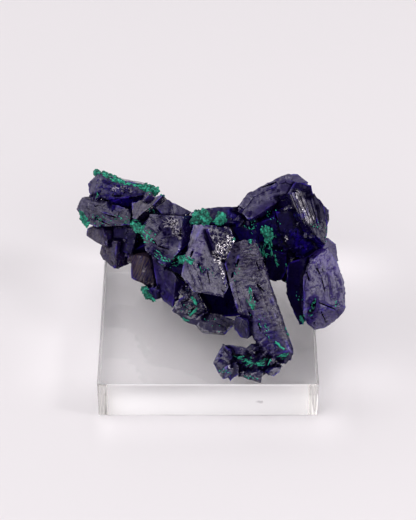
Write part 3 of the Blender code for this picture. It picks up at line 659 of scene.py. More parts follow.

# Patches of the surface that differ from the rest of their crystal: what they do, the photograph's pixels
# that they run through, how far they spread to each side in millimetres, and how strong they are. Light
# patches give more shine, which is painted light, and dark ones less, which is painted shade; pits lose
# shine too, as painted shade in their holes

PATCHES = {
    "prism_streaks": ("lines", [(204, 266), (214, 284)], 2.4, 0.25),
    "side_wedge_light": ("light", [(92, 232), (100, 236)], 1.6, 0.3),
    "tablet_ledge_light": ("light", [(276, 214), (284, 211), (293, 208)], 0.6, 0.9),
    "glossy_bright": ("streaks", [(296, 195), (301, 205), (308, 217)], 1.5, 1.0),
    "pendant_middle_dark": ("dark", [(324, 296), (334, 300)], 1.0, 0.35),
    "pendant_left_dark": ("dark", [(306, 284), (307, 292)], 0.9, 0.6),
    "foot_top_light": ("light", [(246, 351), (254, 347)], 1.3, 0.4),
    "foot_left_light": ("light", [(221, 364), (228, 374)], 1.7, 0.4),
    "tablet_mottle": ("pits", [(250, 205), (262, 196)], 1.6, 0.3),
    "hollow_pits": ("pits", [(280, 236), (296, 246), (312, 250)], 2.2, 0.8),
    "leg_top_blue": ("blue", [(236, 257), (233, 267)], 0.9, 0.05),
    "pitted_block_pits": ("pits", [(166, 222), (174, 236)], 2.2, 1.0),
    "pitted_block_sparkle": ("glints", [(166, 222), (174, 221), (177, 232)], 1.8, 0.50),
    "pitted_block_low_pits": ("pits", [(158, 254), (180, 262)], 1.6, 0.9),
    "pitted_block_low_dark": ("dark", [(152, 250), (168, 260), (184, 264)], 1.7, 0.7),
    "pitted_block_pits_dark": ("dark", [(166, 226), (174, 238)], 1.9, 0.7),
    "pitted_block_right": ("light", [(186, 233), (190, 240)], 1.2, 0.8),
    "pitted_block_left": ("light", [(152, 222), (156, 230)], 1.6, 0.3),
    "shoulder_pits": ("pits", [(220, 234)], 2.4, 0.6),
    "shoulder_dark": ("dark", [(212, 230), (226, 232)], 1.5, 0.5),
    "shoulder_sparkle": ("glints", [(230, 243), (222, 250), (219, 256)], 1.9, 1.0),
    "prism_edge_sparkle": ("glints", [(219, 261), (223, 272), (226, 285)], 0.5, 1.0),
    "prism_violet": ("violet", [(201, 228), (197, 252)], 1.6, 0.5),
    "prism_cracked": ("pits", [(200, 258), (203, 270)], 0.9, 0.7),
    "upper_block_sparkle": ("glints", [(112, 188), (130, 190)], 0.9, 0.5),
    "upper_block_blue": ("blue", [(110, 190), (130, 188)], 2.0, 0.6),
    "upper_block_end": ("light", [(96, 180), (93, 189)], 1.6, 0.9),
    "upper_block_low": ("dark", [(104, 196), (126, 194)], 0.9, 0.6),
    "lower_block_dark": ("dark", [(106, 232), (122, 226)], 1.6, 0.5),
    "leg_top_lines": ("lines", [(248, 244), (250, 252), (253, 264)], 2.8, 1.0),
    "leg_top_light": ("light", [(243, 247), (253, 250)], 1.3, 0.4),
    "leg_top_left": ("dark", [(233, 250), (229, 262)], 1.7, 0.55),
    "leg_top_pits": ("pits", [(233, 250), (231, 262), (229, 270)], 2.2, 1.0),
    "leg_dark_patch": ("dark", [(257, 294), (259, 302)], 0.9, 0.6),
    "leg_left_dark": ("dark", [(243, 300), (246, 309)], 0.9, 0.5),
    "leg_low_blue": ("blue", [(254, 318), (272, 345)], 2.6, 0.45),
    "leg_low_dark": ("dark", [(262, 325), (276, 350)], 2.6, 0.65),
    "brown_prism_low": ("dark", [(160, 282), (172, 294)], 2.0, 0.7),
    "brown_prism_blue": ("blue", [(156, 290), (170, 300)], 1.8, 0.4),
    "brown_prism_lines": ("lines", [(150, 264), (160, 274)], 2.0, 0.6),
    "brown_prism_dark": ("dark", [(152, 262), (162, 276)], 1.6, 0.9),
    "brown_prism_end": ("light", [(140, 262), (141, 274)], 1.2, 0.8),
    "wedge_light": ("light", [(174, 284), (180, 296)], 1.4, 0.3),
    "wedge_strip": ("light", [(152, 257), (170, 270), (187, 285)], 0.5, 0.5),
    "low_chunk_pits": ("pits", [(186, 305), (198, 310)], 1.5, 0.7),
    "low_chunk_dark": ("dark", [(205, 300), (206, 318)], 0.9, 0.8),
    "tablet_light": ("light", [(243, 207), (262, 197)], 1.6, 0.25),
    "tablet_pits": ("pits", [(276, 190), (284, 196), (290, 204)], 0.8, 0.9),
    "tablet_low_dark": ("dark", [(256, 213), (272, 205), (284, 203)], 1.3, 0.7),
    "glossy_streaks": ("lines", [(296, 196), (302, 206), (307, 218)], 2.2, 1.0),
    "glossy_light": ("light", [(295, 195), (300, 206), (306, 218)], 1.5, 1.0),
    "summit_dark": ("dark", [(285, 186), (300, 186), (311, 190)], 1.6, 0.8),
    "glossy_right_dark": ("dark", [(314, 194), (321, 206), (325, 218)], 1.3, 0.7),
    "glossy_blue": ("blue", [(314, 240), (322, 246)], 2.0, 0.6),
    "hollow_blue": ("blue", [(299, 234), (306, 247)], 2.0, 1.0),
    "hollow_sparkle": ("glints", [(286, 237), (287, 242)], 0.4, 0.9),
    "spray_pits": ("pits", [(266, 248)], 3.5, 0.7),
    "bridge_blue": ("blue", [(233, 213), (236, 224)], 1.3, 1.0),
    "pendant_notch": ("pits", [(313, 304), (311, 318)], 1.4, 0.9),
    "pendant_notch_dark": ("dark", [(314, 300), (310, 320)], 1.5, 1.0),
    "pendant_cracked": ("pits", [(318, 270), (324, 290)], 1.0, 0.3),
    "pendant_low_lines": ("lines", [(322, 318), (336, 316)], 2.0, 0.8),
    "pendant_low_dark": ("dark", [(320, 316), (340, 312)], 1.8, 0.35),
    "pendant_violet": ("violet", [(322, 258), (334, 268)], 2.6, 0.8),
    "foot_pits": ("pits", [(245, 362)], 3.5, 0.5),
    "foot_dark": ("dark", [(232, 354), (240, 360), (262, 362)], 1.6, 0.9),
    "foot_light": ("light", [(274, 371), (279, 369)], 0.9, 0.9),
    "foot_low_light": ("light", [(248, 376), (254, 376)], 0.8, 0.7),
    "foot_blue": ("blue", [(222, 352), (218, 357)], 0.8, 1.0),
    "recess_blue": ("blue", [(112, 203), (131, 205)], 1.8, 0.8),
    "knee_blue": ("blue", [(236, 330), (240, 335)], 0.6, 0.4),
}

# Open cracks in the facets, each from one pixel of the photograph to another, and its width in millimetres

CRACKS = {
    "leg_upper": ((256, 283), (264, 293), 0.54),
    "leg_side": ((253, 293), (258, 303), 0.28),
    "leg_middle": ((248, 311), (253, 319), 0.40),
    "leg_left": ((239, 258), (236, 268), 0.45),
    "leg_left_low": ((233, 271), (231, 279), 0.30),
    "leg_low": ((258, 322), (261, 332), 0.22),
    "leg_shoulder": ((256, 262), (260, 272), 0.22),
    "prism_speckled": ((198, 262), (202, 273), 0.32),
    "prism_left": ((193, 250), (190, 258), 0.20),
    "prism_low": ((207, 270), (210, 284), 0.16),
    "pitted_left": ((151, 238), (158, 246), 0.25),
    "pitted_low": ((158, 246), (170, 250), 0.25),
    "pitted_right": ((181, 226), (180, 240), 0.34),
    "chunk_gap": ((206, 312), (204, 319), 0.60),
    "chunk_left": ((181, 303), (190, 299), 0.26),
    "chunk_low": ((186, 316), (196, 306), 0.26),
    "upper_block_low": ((112, 196), (122, 196), 0.36),
    "lower_block_long": ((92, 217), (112, 226), 0.20),
    "lower_block_short": ((104, 214), (117, 218), 0.20),
    "wedge_long": ((148, 252), (170, 268), 0.25),
    "tablet_long": ((262, 188), (278, 182), 0.20),
    "tablet_edge": ((275, 201), (289, 197), 0.51),
    "pendant_upper": ((316, 267), (320, 275), 0.24),
    "pendant_middle": ((321, 276), (326, 294), 0.16),
    "pendant_left": ((306, 271), (309, 280), 0.18),
    "pendant_step": ((317, 302), (335, 309), 0.25),
    "pendant_notch": ((315, 299), (309, 315), 0.90),
    "pendant_low": ((321, 311), (327, 324), 0.18),
}

# Ribs and steps that stand on the facets, each from one pixel of the photograph to another, with its width
# and how far it stands out in millimetres

LEDGES = {
    "glossy_rib_1": ((296, 198), (303, 219), 0.8, 0.55),
    "glossy_rib_2": ((296, 192), (306, 221), 0.7, 0.65),
    "glossy_rib_3": ((300, 192), (309, 216), 0.7, 0.40),
    "glossy_rib_4": ((305, 195), (313, 220), 0.6, 0.25),
    "glossy_rib_5": ((311, 197), (319, 226), 0.7, 0.30),
    "tablet_ledge": ((274, 214), (293, 207), 1.0, 0.70),
    "tablet_step": ((250, 196), (276, 183), 1.6, 0.30),
    "tablet_end": ((241, 208), (252, 194), 1.8, 0.25),
    "summit_step": ((286, 181), (306, 188), 1.0, 0.35),
    "leg_step_1": ((241, 247), (256, 249), 1.1, 0.45),
    "leg_step_2": ((242, 251), (258, 253), 0.9, 0.30),
    "leg_step_3": ((244, 256), (259, 258), 0.9, 0.35),
    "leg_step_4": ((243, 261), (260, 264), 0.9, 0.20),
    "leg_long_step": ((262, 285), (276, 325), 1.3, 0.22),
    "leg_left_step": ((238, 283), (246, 312), 1.4, 0.25),
    "leg_low_step": ((262, 340), (272, 356), 2.2, 0.25),
    "prism_long_step": ((190, 262), (200, 290), 1.6, 0.20),
    "prism_edge": ((222, 262), (226, 284), 0.8, 0.40),
    "pitted_step": ((148, 222), (160, 232), 2.0, 0.30),
    "pitted_low_step": ((150, 248), (168, 262), 1.6, 0.35),
    "upper_block_step": ((103, 186), (124, 192), 1.5, 0.30),
    "lower_block_step": ((88, 206), (118, 214), 1.4, 0.30),
    "pendant_step": ((312, 262), (308, 290), 1.6, 0.25),
    "pendant_right_step": ((330, 270), (334, 298), 1.8, 0.22),
    "pendant_low_step": ((318, 312), (340, 306), 1.2, 0.35),
    "wedge_step": ((160, 270), (176, 298), 1.2, 0.30),
    "chunk_step": ((180, 312), (196, 300), 1.2, 0.30),
    "foot_left_step": ((217, 360), (224, 374), 1.3, 0.40),
    "foot_left_edge": ((222, 350), (230, 360), 1.0, 0.40),
    "foot_right_step": ((246, 372), (260, 370), 1.0, 0.40),
    "ledge_step": ((212, 318), (228, 326), 1.2, 0.25),
}

# Crowds of small crystals: the pixel at the middle, how far they spread in pixels, how many and how large

CLUSTERS = {
    "hollow_left": dict(pixel=(272, 252), spread=(7, 9), count=18, size=0.55),
    "hollow_right": dict(pixel=(300, 240), spread=(8, 9), count=26, size=0.55),
    "chunk_root": dict(pixel=(186, 292), spread=(3, 3), count=14, size=0.9, beside=(193, 301)),
    "foot": dict(pixel=(240, 361), spread=(14, 6), count=26, size=0.85),
    "foot_low": dict(pixel=(246, 374), spread=(10, 3), count=10, size=0.7),
    "leg_end": dict(pixel=(276, 363), spread=(3, 2), count=6, size=0.8),
    "leg_root": dict(pixel=(268, 354), spread=(5, 4), count=22, size=0.9, beside=(272, 345)),
    "knee_root": dict(pixel=(258, 345), spread=(2.5, 1.5), count=8, size=0.6, beside=(261, 343)),
    "foot_left": dict(pixel=(222, 368), spread=(4, 5), count=6, size=1.2),
    "upper_block_root": dict(pixel=(97, 197), spread=(3, 1.2), count=6, size=0.8, beside=(97, 203)),
    "upper_block_side": dict(pixel=(149, 197), spread=(2.5, 1.5), count=8, size=0.8, beside=(146, 203)),
    "brown_prism_side": dict(pixel=(131, 256), spread=(1.5, 3), count=8, size=0.8, beside=(127, 252)),
    "under_brown_prism": dict(pixel=(156, 292), spread=(6, 5), count=10, size=0.6),
    "low_chunk": dict(pixel=(190, 308), spread=(9, 6), count=14, size=0.5),
    "seam": dict(pixel=(176, 262), spread=(12, 5), count=14, size=0.45),
    "recess": dict(pixel=(117, 204), spread=(8, 2.5), count=9, size=0.45),
    "bridge": dict(pixel=(240, 222), spread=(8, 10), count=14, size=0.7),
    "hollow": dict(pixel=(282, 243), spread=(8, 10), count=12, size=0.7),
    "spray": dict(pixel=(262, 262), spread=(10, 14), count=22, size=0.7),
    "upper_block_end": dict(pixel=(122, 190), spread=(9, 3), count=10, size=0.5),
    "left_core": dict(pixel=(128, 232), spread=(6, 8), count=8, size=0.7),
    "pendant_notch": dict(pixel=(311, 312), spread=(4, 7), count=8, size=0.5),
}


def camera_ray(pixel):
    """From the camera through a pixel of the photograph: where it starts and its direction."""
    pitch = radians(CAMERA_PITCH)
    ahead = Vector((0.0, cos(pitch), -sin(pitch)))
    up = Vector((0.0, sin(pitch), cos(pitch)))
    right = (pixel[0] - PHOTO_WIDTH / 2) / FOCAL_PIXELS
    rise = (PHOTO_HEIGHT / 2 - pixel[1]) / FOCAL_PIXELS
    return Vector(CAMERA_PLACE), (ahead + Vector((right, 0.0, 0.0)) + up * rise).normalized()


class Surface:
    """The flat-faceted body, for finding what a pixel of the photograph shows."""

    def __init__(self, data):
        self.tree = BVHTree.FromBMesh(data)

    def under(self, pixel):
        """The point of the surface that a pixel shows, and the direction that it faces."""
        start, direction = camera_ray(pixel)
        place, normal = self.tree.ray_cast(start, direction)[:2]
        if place is None:
            raise ValueError(f"pixel {pixel} doesn't show the specimen")
        return place, normal


def beside(surface, pixel, neighbour):
    """The point that a pixel would show if the surface there lay as far away as at its neighbour."""
    start, direction = camera_ray(pixel)
    ahead = camera_ray((PHOTO_WIDTH / 2, PHOTO_HEIGHT / 2))[1]
    depth = (surface.under(neighbour)[0] - start).dot(ahead)
    return start + direction * (depth / direction.dot(ahead))


def look_of(name):
    """A crystal's look: the plain one, and what differs from it."""
    return {**PLAIN_LOOK, **LOOKS.get(name, {})}


def all_crystals():
    """The sizes of every crystal, by name."""
    groups = (MIDDLE_CRYSTALS, LEFT_CRYSTALS, RIGHT_CRYSTALS, FOOT_CRYSTALS, BACK_CRYSTALS)
    return {name: sizes for group in groups for name, sizes in group.items()}


def facet_owners(data, solids):
    """For each facet of the united body, the number of the crystal that it came from."""
    heights, normals, owners, middles = [], [], [], []
    for number, solid in enumerate(solids):
        for face in solid.faces:
            normals.append(tuple(face.normal))
            heights.append(face.normal.dot(face.verts[0].co))
            middles.append(tuple(face.calc_center_median()))
            owners.append(number)
    normals, heights, middles, owners = map(np.array, (normals, heights, middles, owners))
    found = []
    for face in data.faces:
        normal, middle = np.array(face.normal), np.array(face.calc_center_median())
        apart = 60.0 * (1.0 - normals @ normal) + np.abs(normals @ middle - heights)
        apart += 0.002 * np.linalg.norm(middles - middle, axis=1)
        found.append(owners[np.argmin(apart)])
    return np.array(found)


def line_distance(points, line):
    """Distance from each point to a line through some places, or to the one place."""
    nearest = np.linalg.norm(points - np.array(line[0]), axis=1)
    for start, end in zip(line[:-1], line[1:]):
        start, run = np.array(start), np.array(end - start)
        share = np.clip(((points - start) @ run) / (run @ run), 0.0, 1.0)
        nearest = np.minimum(nearest, np.linalg.norm(points - start - share[:, None] * run, axis=1))
    return nearest


def striae(points, across, period, seed):
    """Grooves from -1 to 0 that run along the grain, come and go, and wander a little."""
    wander = 0.5 * noise(points, 5.0, seed)
    coarse = np.abs(2.0 * ((across / period + wander) % 1.0) - 1.0)
    fine = np.abs(2.0 * ((across / (period * 0.61) + 1.7 * wander) % 1.0) - 1.0)
    fade = smooth_step(-0.35, 0.35, noise(points, 3.5, seed + 11))
    return -(0.6 * coarse + 0.4 * fine) * (0.25 + 0.75 * fade)


def terraces(points, along, across, seed):
    """Growth steps from -0.5 to 0.5, longer along the grain than across it."""
    stretched = np.stack([along / 1.9, across, points @ np.array([0.3, 0.5, 0.4])], axis=1)
    level = 0.5 + 0.5 * noise(stretched, 2.6, seed) + 0.16 * noise(stretched, 0.9, seed + 5)
    return np.floor(level * 6.0) / 6.0 - 0.5


def mosaic(points, size, seed):
    """Height of small flat blocks, each tilted its own way."""
    _, _, number, middle = cells(points, size, seed)
    turns = ((97.0, 0.0), (57.0, 1.0), (31.0, 2.0))
    lean = np.stack([np.sin(number * turn + shift) for turn, shift in turns], axis=1)
    return np.sum((points - middle) * lean, axis=1)


def grain_direction(name):
    """The direction of a crystal's striae."""
    axes = face_axes(all_crystals()[name]["facing"])
    angle = radians(look_of(name)["grain"])
    return tuple(axes.col[0] * cos(angle) + axes.col[1] * sin(angle))


# Small growth on the facets, each for about so many square millimetres of facet: plates that stand on them,
# and cracks and hollows in them. The sides that face away from the photographer get less.
PLATE_SPACE = 12.0
HOLLOW_SPACE = 70.0
AWAY_SPACE_TIMES = 2.4
TOWARDS_CAMERA = Vector((0.0, -cos(radians(CAMERA_PITCH)), sin(radians(CAMERA_PITCH))))


def in_view(face):
    return face.normal.dot(TOWARDS_CAMERA) > -0.1


def slab_data(place, along, outward, size, heights, widening, skew, corner_cut):
    """A small plate with two corners cut: its length runs along, and its flat sides face out and back."""
    across = outward.cross(along).normalized()
    a, b, c = size[0] / 2, size[1] / 2, corner_cut
    outline = [(-a, -b * (1 - c)), (-a * (1 - c), -b), (a, -b), (a, b * (1 - c)), (a * (1 - c), b), (-a, b)]
    data = bmesh.new()
    rings = []
    for height, scale in zip(heights, (widening, 1.0)):
        ring = []
        for s, t in outline:
            spot = place + along * (s * scale + skew * height) + across * t * scale + outward * height
            ring.append(data.verts.new(spot))
        rings.append(ring)
    low, high = rings
    data.faces.new(low[::-1])
    data.faces.new(high)
    for number in range(6):
        after = (number + 1) % 6
        data.faces.new([low[number], low[after], high[after], high[number]])
    bmesh.ops.recalc_face_normals(data, faces=data.faces)
    data.normal_update()
    return data


class Outline:
    """A facet's outline, flat, for finding places on it."""

    def __init__(self, face):
        self.right = face.normal.orthogonal().normalized()
        self.up = face.normal.cross(self.right)
        self.flat = np.array([(vert.co.dot(self.right), vert.co.dot(self.up)) for vert in face.verts])
        self.lift = face.normal * face.normal.dot(face.verts[0].co)
        self.area = face.calc_area()

    def spots(self, space, random):
        """Random places on the facet, one for about that many square millimetres."""
        count = self.area / space
        count = int(count) + (random.random() < count % 1.0)
        found, tries = [], 0
        while len(found) < count and tries < 40:
            tries += 1
            spot = random.uniform(self.flat.min(0), self.flat.max(0))
            if inside(self.flat, spot[None, :])[0]:
                found.append(self.right * spot[0] + self.up * spot[1] + self.lift)
        return found

    def room(self, place, along, size):
        """How much a rectangle round a place must shrink to stay in the facet; none if it's too much."""
        across = self.right.cross(self.up).cross(along)
        for share in (1.0, 0.7, 0.5):
            corners = [place + along * (s * size[0] * share * 0.55) + across * (t * size[1] * share * 0.6)
                       for s in (-1, 1) for t in (-1, 1)]
            flat = np.array([(corner.dot(self.right), corner.dot(self.up)) for corner in corners])
            if inside(self.flat, flat).all():
                return share
        return None


def nudged(direction, amount, random):
    return (direction + Vector(random.normal(0.0, amount, 3))).normalized()


def small_growth(data, owners, names, seed):
    """Plates that stand on the facets, and blocks to take out of them."""
    random = np.random.default_rng(seed)
    plates, hollows = [], []
    for face in data.faces:
        if face.calc_area() < 3.0 or face.calc_center_median().z < 11.5:
            continue
        name = names[owners[face.index]]
        grain = Vector(grain_direction(name))
        along = face.normal.cross(grain.cross(face.normal))
        if along.length < 0.3:
            along = face.normal.orthogonal()
        along.normalize()
        space = (1.0 if in_view(face) else AWAY_SPACE_TIMES) / look_of(name)["plates"]
        outline = Outline(face)
        for spot in outline.spots(PLATE_SPACE * space, random):
            size = random.lognormal(0.0, 0.4) * random.uniform(0.7, 1.5, 2) * (3.0, 1.5)
            run, out = nudged(along, 0.05, random), nudged(face.normal, 0.05, random)
            heights = (-0.9, random.uniform(0.03, 0.17))
            share = outline.room(spot, run, size)
            if share:
                skew, corner_cut = random.uniform(-0.4, 0.4), random.uniform(0.15, 0.6)
                plates.append(slab_data(spot, run, out, size * share, heights, 1.1, skew, corner_cut))
        for spot in outline.spots(HOLLOW_SPACE * space, random):
            size = random.lognormal(0.0, 0.35) * random.uniform(0.6, 1.5, 2) * (1.4, 0.30)
            run, out = nudged(along, 0.15, random), nudged(face.normal, 0.12, random)
            heights = (-random.uniform(0.12, 0.45), 0.8)
            skew, corner_cut = random.uniform(-0.5, 0.5), random.uniform(0.2, 0.7)
            hollows.append(slab_data(spot, run, out, size, heights, 0.6, skew, corner_cut))
    return plates, hollows


# How deep a rib is rooted under the facet
LEDGE_ROOT = 1.2

# A crack's depth below the facet, the height above it that the cut starts from, and its bottom's share of
# the width. Its width in the facet is this share of the cut's own width.
CRACK_DEPTH = 0.7
CRACK_START = 0.4
CRACK_BOTTOM = 0.25
CRACK_SHARE = CRACK_BOTTOM + (1.0 - CRACK_BOTTOM) * CRACK_DEPTH / (CRACK_DEPTH + CRACK_START)


def cracks(surface):
    """Thin wedges to take out of the facets, where they are cracked open."""
    made = []
    for start_pixel, end_pixel, width in CRACKS.values():
        start, outward = surface.under(start_pixel)
        end = surface.under(end_pixel)[0]
        along = end - start
        outward = (outward - outward.project(along)).normalized()
        size, heights = (along.length * 1.1, width / CRACK_SHARE), (-CRACK_DEPTH, CRACK_START)
        made.append(slab_data((start + end) / 2, along.normalized(), outward, size, heights,
                              CRACK_BOTTOM, 0.1, 0.5))
    return made


def ledges(surface):
    """Ribs and steps that stand on the facets."""
    made = []
    for start_pixel, end_pixel, width, proud in LEDGES.values():
        start, outward = surface.under(start_pixel)
        end, second = surface.under(end_pixel)
        along = end - start
        outward = outward + second
        outward = (outward - outward.project(along)).normalized()
        made.append(slab_data((start + end) / 2, along.normalized(), outward, (along.length, width),
                              (-LEDGE_ROOT, proud), 1.3, 0.2, 0.3))
    return made


def small_crystal(place, axis, radius, length, random):
    """A short crystal with a wedge-shaped end."""
    right = axis.orthogonal().normalized()
    up = axis.cross(right)
    data = bmesh.new()
    turn = random.uniform(0.0, 2.0 * pi)
    ring = []
    for number in range(6):
        angle = turn + number * pi / 3 + random.uniform(-0.18, 0.18)
        spread = radius * random.uniform(0.75, 1.15)
        ring.append(data.verts.new(place - axis * radius * 1.6 + right * cos(angle) * spread
                                   + up * sin(angle) * spread * 0.7))
    base = data.faces.new(ring)
    made = bmesh.ops.extrude_face_region(data, geom=[base], use_keep_orig=True)
    for vert in (item for item in made["geom"] if isinstance(item, bmesh.types.BMVert)):
        vert.co += axis * (length + radius * 1.6)
    bmesh.ops.recalc_face_normals(data, faces=data.faces)
    put_in_order(data)
    for number in range(3):
        angle = turn + number * 2.1 + random.uniform(-0.4, 0.4)
        side = right * cos(angle) + up * sin(angle)
        slope = radians(random.uniform(25, 60))
        top = place + axis * length * random.uniform(0.7, 1.0)
        cut_plane(data, top, axis * cos(slope) + side * sin(slope))
    data.normal_update()
    return data


# Small crystals this far in front of or behind the middle of their cluster are left out
CLUSTER_DEPTH = 4.0


def clusters(surface, seed):
    """Small crystals that crowd round some places."""
    random = np.random.default_rng(seed)
    made = []
    for cluster in CLUSTERS.values():
        middle = surface.under(cluster.get("beside", cluster["pixel"]))[0]
        for _ in range(cluster["count"]):
            pixel = random.normal(cluster["pixel"], cluster["spread"])
            if "beside" in cluster:
                place, normal = beside(surface, pixel, cluster["beside"]), -camera_ray(pixel)[1]
            else:
                try:
                    place, normal = surface.under(pixel)
                except ValueError:
                    continue
            radius = cluster["size"] * random.lognormal(0.0, 0.3)
            if abs((place - middle).dot(TOWARDS_CAMERA)) > CLUSTER_DEPTH:
                continue
            axis = nudged(normal + Vector(cluster.get("towards", (0.0, 0.0, 0.3))), 0.35, random)
            made.append(small_crystal(place, axis, radius, radius * random.uniform(0.6, 1.7), random))
    return made


PATCH_KINDS = ("pits", "glints", "streaks", "lines", "light", "dark", "blue", "violet")


def patch_weights(points, surface):
    """How strongly each kind of patch holds at each point; a patch has a ragged border."""
    weights = {kind: np.zeros(len(points)) for kind in PATCH_KINDS}
    for number, (kind, pixels, spread, strength) in enumerate(PATCHES.values()):
        line = [surface.under(pixel)[0] for pixel in pixels]
        apart = line_distance(points, line) / spread
        ragged = apart + 0.35 * noise(points, 1.1, 300 + number) + 0.15 * noise(points, 0.5, 700 + number)
        weights[kind] = np.maximum(weights[kind], strength * smooth_step(1.25, 0.55, ragged))
    return weights


def grain_axes(data, names, owners):
    """For each facet: where it faces, and the directions along and across its grain."""
    normals = np.array([tuple(face.normal) for face in data.faces])
    grains = np.array([grain_direction(name) for name in names])[owners]
    across = np.cross(normals, grains)
    weak = np.linalg.norm(across, axis=1) < 0.25
    across[weak] = np.cross(normals[weak], grains[weak] + np.array([0.31, 0.47, 0.83]))
    across /= np.linalg.norm(across, axis=1)[:, None]
    return normals, np.cross(across, normals), across


def ways_out(points, corners, corner_facet, normals):
    """The direction in which each point moves out of its facets."""
    pairs = np.unique(np.stack([corners, corner_facet], axis=1), axis=0)
    outward = np.zeros((len(points), 3))
    np.add.at(outward, pairs[:, 0], normals[pairs[:, 1]])
    return outward / np.maximum(np.linalg.norm(outward, axis=1), 0.2)[:, None]


def relief(points, look, patch, run_along, run_across, apart):
    """How far each point moves out, and how far it lies in a small hole, from 0 to 1."""
    height = look["waves"] * (noise(points, 4.5, 1) + 0.4 * noise(points, 1.7, 2))
    grooves = look["striae"] + 0.10 * patch["lines"]
    height += grooves * striae(points, run_across, look["period"], 3)
    height += look["terraces"] * terraces(points, run_along, run_across, 20)
    height += look["tilts"] * mosaic(points, 2.6, 30)
    near, _, number, _ = cells(points, 0.85, 40)
    hole = smooth_step(0.44, 0.14, near) * (number > 0.25)
    height -= patch["pits"] * (0.34 * hole + 0.12 * (1.0 + noise(points, 1.3, 45)))
    height += patch["glints"] * 0.16 * mosaic(points, 0.95, 50)
    height *= 0.15 + 0.85 * smooth_step(0.0, 0.45, apart["side"])
    chips = smooth_step(0.05, 0.6, noise(points, 1.2, 60))
    chips += 0.6 * smooth_step(0.1, 0.6, noise(points, 0.6, 61))
    height -= (0.05 + 0.16 * chips) * smooth_step(0.5, 0.0, apart["ridge"])
    height -= (0.28 + 0.14 * noise(points, 2.0, 65)) * smooth_step(0.55, 0.05, apart["shaded_joint"])
    return height, hole


def skin_values(points, look, patch, apart, hole):
    """What the material is told about each point, by name, and how much painted shade darkens it at the
    joints, creases and pits.
    """
    # painted shade: the joints between crystals, the creases and the holes of pits are darkened and lose
    # their shine
    joint_shade = np.maximum(smooth_step(0.9, 0.2, apart["shaded_joint"]), 0.9 * hole * patch["pits"])
    broken = noise(points, 2.2, 66) + 0.5 * noise(points, 0.8, 67)
    creased = 0.5 * smooth_step(0.22, 0.05, apart["crease"]) * smooth_step(-0.1, 0.6, broken)
    joint_shade = np.maximum(joint_shade, creased)
    # painted sheen: the skin gives back more light along the ridges
    ridge_sheen = smooth_step(0.28, 0.05, apart["ridge"]) * (1.0 - joint_shade)
    # painted light and shade: light patches add shine, dark ones take it away, and pits lose shine
    shine = look["shine"] + 0.5 * patch["light"]
    shine *= (1.0 - 0.9 * patch["dark"]) * (1.0 - 0.5 * patch["pits"])
    shine *= (1.0 - 0.5 * patch["glints"]) * (1.0 + 0.6 * ridge_sheen)
    values = {
        "shine": np.clip(shine, 0.0, 1.0) * (1.0 - 0.8 * joint_shade),
        "frost": look["frost"] * (1.0 - 0.6 * patch["pits"]),
        "blue": np.maximum(look["blue"], patch["blue"]),
        "violet": np.maximum(look["violet"], patch["violet"]),
        "warm": look["warm"],
        "polish": look["rough"] * (1.0 - 0.5 * patch["glints"]),
        "sparkle": patch["glints"],
        "streaks": patch["streaks"],
        # painted light along the rims, as if it showed through the thin edges
        "rim": smooth_step(0.45, 0.1, apart["rim"]) * smooth_step(-0.1, 0.7, broken),
        "lines": patch["lines"],
    }
    return values, joint_shade


def azurite_piece(surface, data, first_owners, names):
    """The blue crystals, with every facet's own relief, as one closed mesh."""
    data.faces.ensure_lookup_table()
    nearest = [surface.tree.find_nearest(face.calc_center_median())[2] for face in data.faces]
    owners = np.array([first_owners[index] for index in nearest])
    facets = Facets(data, lambda face: FINE_SPACING if in_view(face) else COARSE_SPACING, owners)
    normals, along, across = grain_axes(data, names, owners)
    points, corners = facets.points, facets.triangles.ravel()
    corner_facet = np.repeat(facets.facet, 3)
    of_point = np.zeros(len(points), int)
    of_point[corners] = corner_facet
    edges = {"side": facets.sharp, "ridge": facets.ridges, "rim": facets.rims,
             "shaded_joint": facets.joints, "crease": facets.creases}
    apart = {kind: distance_to(points, indices) for kind, indices in edges.items()}
    looks = {key: np.array([look_of(name)[key] for name in names], float) for key in PLAIN_LOOK}
    look = {key: numbers[owners[of_point]] for key, numbers in looks.items()}
    run_along = np.sum(points * along[of_point], axis=1)
    run_across = np.sum(points * across[of_point], axis=1)
    patch = patch_weights(points, surface)

    height, hole = relief(points, look, patch, run_along, run_across, apart)
    ragged = 0.07 * noise_vectors(points, 2.4, 70) + 0.02 * noise_vectors(points, 0.7, 80)
    moved = points + ways_out(points, corners, corner_facet, normals) * height[:, None]
    moved += ragged * smooth_step(0.7, 0.0, apart["side"])[:, None]
    standing = points[:, 2] < CRYSTAL_FLOOR + 0.01
    moved[standing, 2] = BLOCK_TOP + 0.02

    mesh = bpy.data.meshes.new("azurite_crystals")
    mesh.from_pydata((moved * MM).tolist(), [], facets.triangles.tolist())
    values, joint_shade = skin_values(points, look, patch, apart, hole)
    for name, numbers in values.items():
        set_attribute(mesh, name, numbers)
    corner_points = points[corners]
    grain = np.stack([np.sum(corner_points * along[corner_facet], axis=1),
                      np.sum(corner_points * across[corner_facet], axis=1), corner_facet * 3.7], axis=1)
    middles = np.array([tuple(face.calc_center_median()) for face in data.faces])
    # painted shade also darkens the cracks and hollows, where the facets lie under the flat-faceted skin
    sunk = smooth_step(0.04, 0.16, depth_under(surface, middles))
    set_attribute(mesh, "shaded_joint", np.maximum(joint_shade[corners], sunk[corner_facet]), "CORNER")
    set_attribute(mesh, "grain", grain, "CORNER")
    mesh.shade_smooth()
    mesh.set_sharp_from_angle(angle=radians(20))
    return placed("azurite_crystals", mesh)


def depth_under(surface, points):
    """How far each point lies under the flat-faceted body's skin."""
    depth = np.zeros(len(points))
    for number, point in enumerate(points):
        place, normal = surface.tree.find_nearest(point)[:2]
        depth[number] = normal.dot(place - Vector(point))
    return depth


def distance_to(points, indices):
    """Distance from each point to the nearest of some of them."""
    tree = KDTree(len(indices))
    for number, index in enumerate(indices):
        tree.insert(points[index], number)
    tree.balance()
    return np.array([tree.find(point)[2] for point in points])


